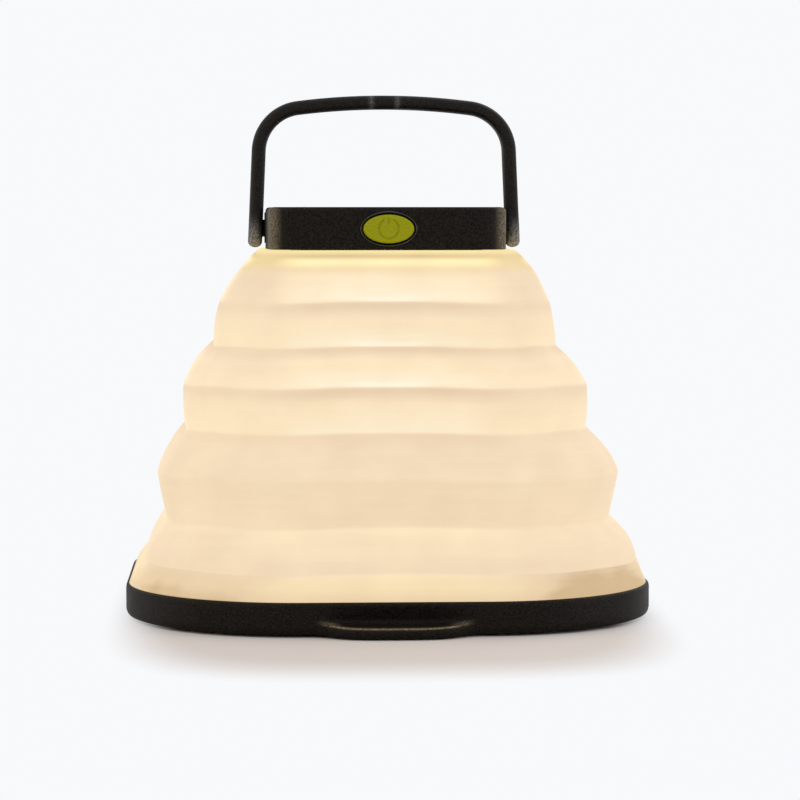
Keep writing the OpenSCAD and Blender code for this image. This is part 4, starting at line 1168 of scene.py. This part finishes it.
shader = inner_finish["lamp_gel"].node_tree.nodes["Principled BSDF"]
shader.inputs["Emission Color"].default_value = linear(LAMP_LIGHT)
shader.inputs["Emission Strength"].default_value = LAMP_STRENGTH
print("lamps glow with strength", LAMP_STRENGTH)

# %% [markdown]
# ## Clamp ring
# The ring that holds the shade's foot lies inside the shade. When the pleats fold flat they come down on it,
# so its top is sloped like the folded silicone and stays just under it. The solid part has a flat
# top, which would show through the folded shade, so a ring with the slope is shown in its place.

# %% Clamp ring
# Half width and height of each point, in millimetres.
CLAMP = ((39.6, 8.6), (40.2, 8.4), (43.1, 7.2), (43.3, 7.1), (39.6, 7.1))

starts, ways = plan(PLAN_CORE, CORNER_STEPS, FLAT_STEPS)
rows = [np.column_stack([starts + (out - PLAN_CORE) * ways, np.full(len(starts), up)]) for out, up in CLAMP]
clamp = make_mesh("sloped_clamp_ring", np.vstack(rows), ring_faces(len(CLAMP), len(starts), True))
stand_in(clamp, "clamp_ring", "base", inner_finish["white_abs"])
print("clamp ring:", len(clamp.data.vertices), "points")

# %% [markdown]
# ## Solar cells
# The cap's top carries a small panel: blue-black silicon strips with fine silver fingers across them.
# Silicon is sawn from a cast block and etched, which leaves dark crystal flakes of a few millimetres. The
# fingers are printed 0.1 mm lines about 1.3 mm apart. Lines so thin are not worth a mesh, so the
# material draws them from the position along the strip, a little wider than they are, so that they show.

# %% Silicon
FINGER_STEP, FINGER_WIDTH, FLAKE = 1.3, 0.13, 3.5
FLAKE_DARK, FLAKE_LIGHT, SILVER = "#10152e", "#1b2347", "#9aa0aa"

silicon, tree, shader = new_finish("silicon_cell", Roughness=0.22, IOR=1.9)
spot = add(tree, "ShaderNodeTexCoord").outputs["Object"]
along_x = add(tree, "ShaderNodeSeparateXYZ", {"Vector": spot}).outputs["X"]
inputs = {0: along_x, 1: per_metre(FINGER_STEP)}
steps = add(tree, "ShaderNodeMath", inputs, operation="MULTIPLY").outputs[0]
saw = add(tree, "ShaderNodeMath", {0: steps}, operation="FRACT").outputs[0]
inputs = {0: saw, 1: FINGER_WIDTH / FINGER_STEP}
finger = add(tree, "ShaderNodeMath", inputs, operation="LESS_THAN").outputs[0]
flake = add(tree, "ShaderNodeTexVoronoi", {"Vector": spot, "Scale": per_metre(FLAKE)}).outputs["Distance"]
stops = [(0.0, linear(FLAKE_DARK)), (1.0, linear(FLAKE_LIGHT))]
blue = add(tree, "ShaderNodeValToRGB", {"Fac": flake}, stops).outputs["Color"]
inputs = {"Factor": finger, "A": blue, "B": linear(SILVER)}
paint = add(tree, "ShaderNodeMix", inputs, data_type="RGBA").outputs["Result"]
tree.links.new(paint, shader.inputs["Base Color"])
tree.links.new(finger, shader.inputs["Metallic"])
dress(silicon, "solar_cells")
print("silicon with a finger every", FINGER_STEP, "mm")

# %% [markdown]
# ## Backing and clear sheet
# The strips lie on a dark laminate and under a clear sheet. The laminate is pressed from resin and glass
# cloth and looks like a dark smooth plastic. The sheet is polycarbonate rolled between polished drums,
# which leaves a faint waviness. Glass-like looks come from full transmission, and the waviness from one
# slow noise in the roughness and the bump.

# %% Laminate and clear sheet
PEEL, PEEL_ROUGH = 2.0, (0.03, 0.12)
PEEL_STRENGTH, PEEL_DEPTH = 0.08, 0.1

laminate = moulded_plastic(
    "dark_laminate", "#0d1220", "#141a2c", grain=0.8, rough=(0.35, 0.5), relief=0.1, gloss=0.4
)
dress(laminate, "solar_board")
clear_sheet, tree, shader = new_finish(
    "clear_polycarbonate", Base_Color=linear("#f4f7fa"), IOR=1.58, Transmission_Weight=1.0
)
spot = add(tree, "ShaderNodeTexCoord").outputs["Object"]
inputs = {"Vector": spot, "Scale": per_metre(PEEL), "Detail": 2.0}
peel = add(tree, "ShaderNodeTexNoise", inputs).outputs["Fac"]
limits = {"Value": peel, "To Min": PEEL_ROUGH[0], "To Max": PEEL_ROUGH[1]}
dull = add(tree, "ShaderNodeMapRange", limits).outputs["Result"]
tree.links.new(dull, shader.inputs["Roughness"])
inputs = {"Height": peel, "Strength": PEEL_STRENGTH, "Distance": PEEL_DEPTH * MM}
bump = add(tree, "ShaderNodeBump", inputs).outputs["Normal"]
tree.links.new(bump, shader.inputs["Normal"])
dress(clear_sheet, "solar_cover")
print("solar panel:", laminate.name, silicon.name, clear_sheet.name)
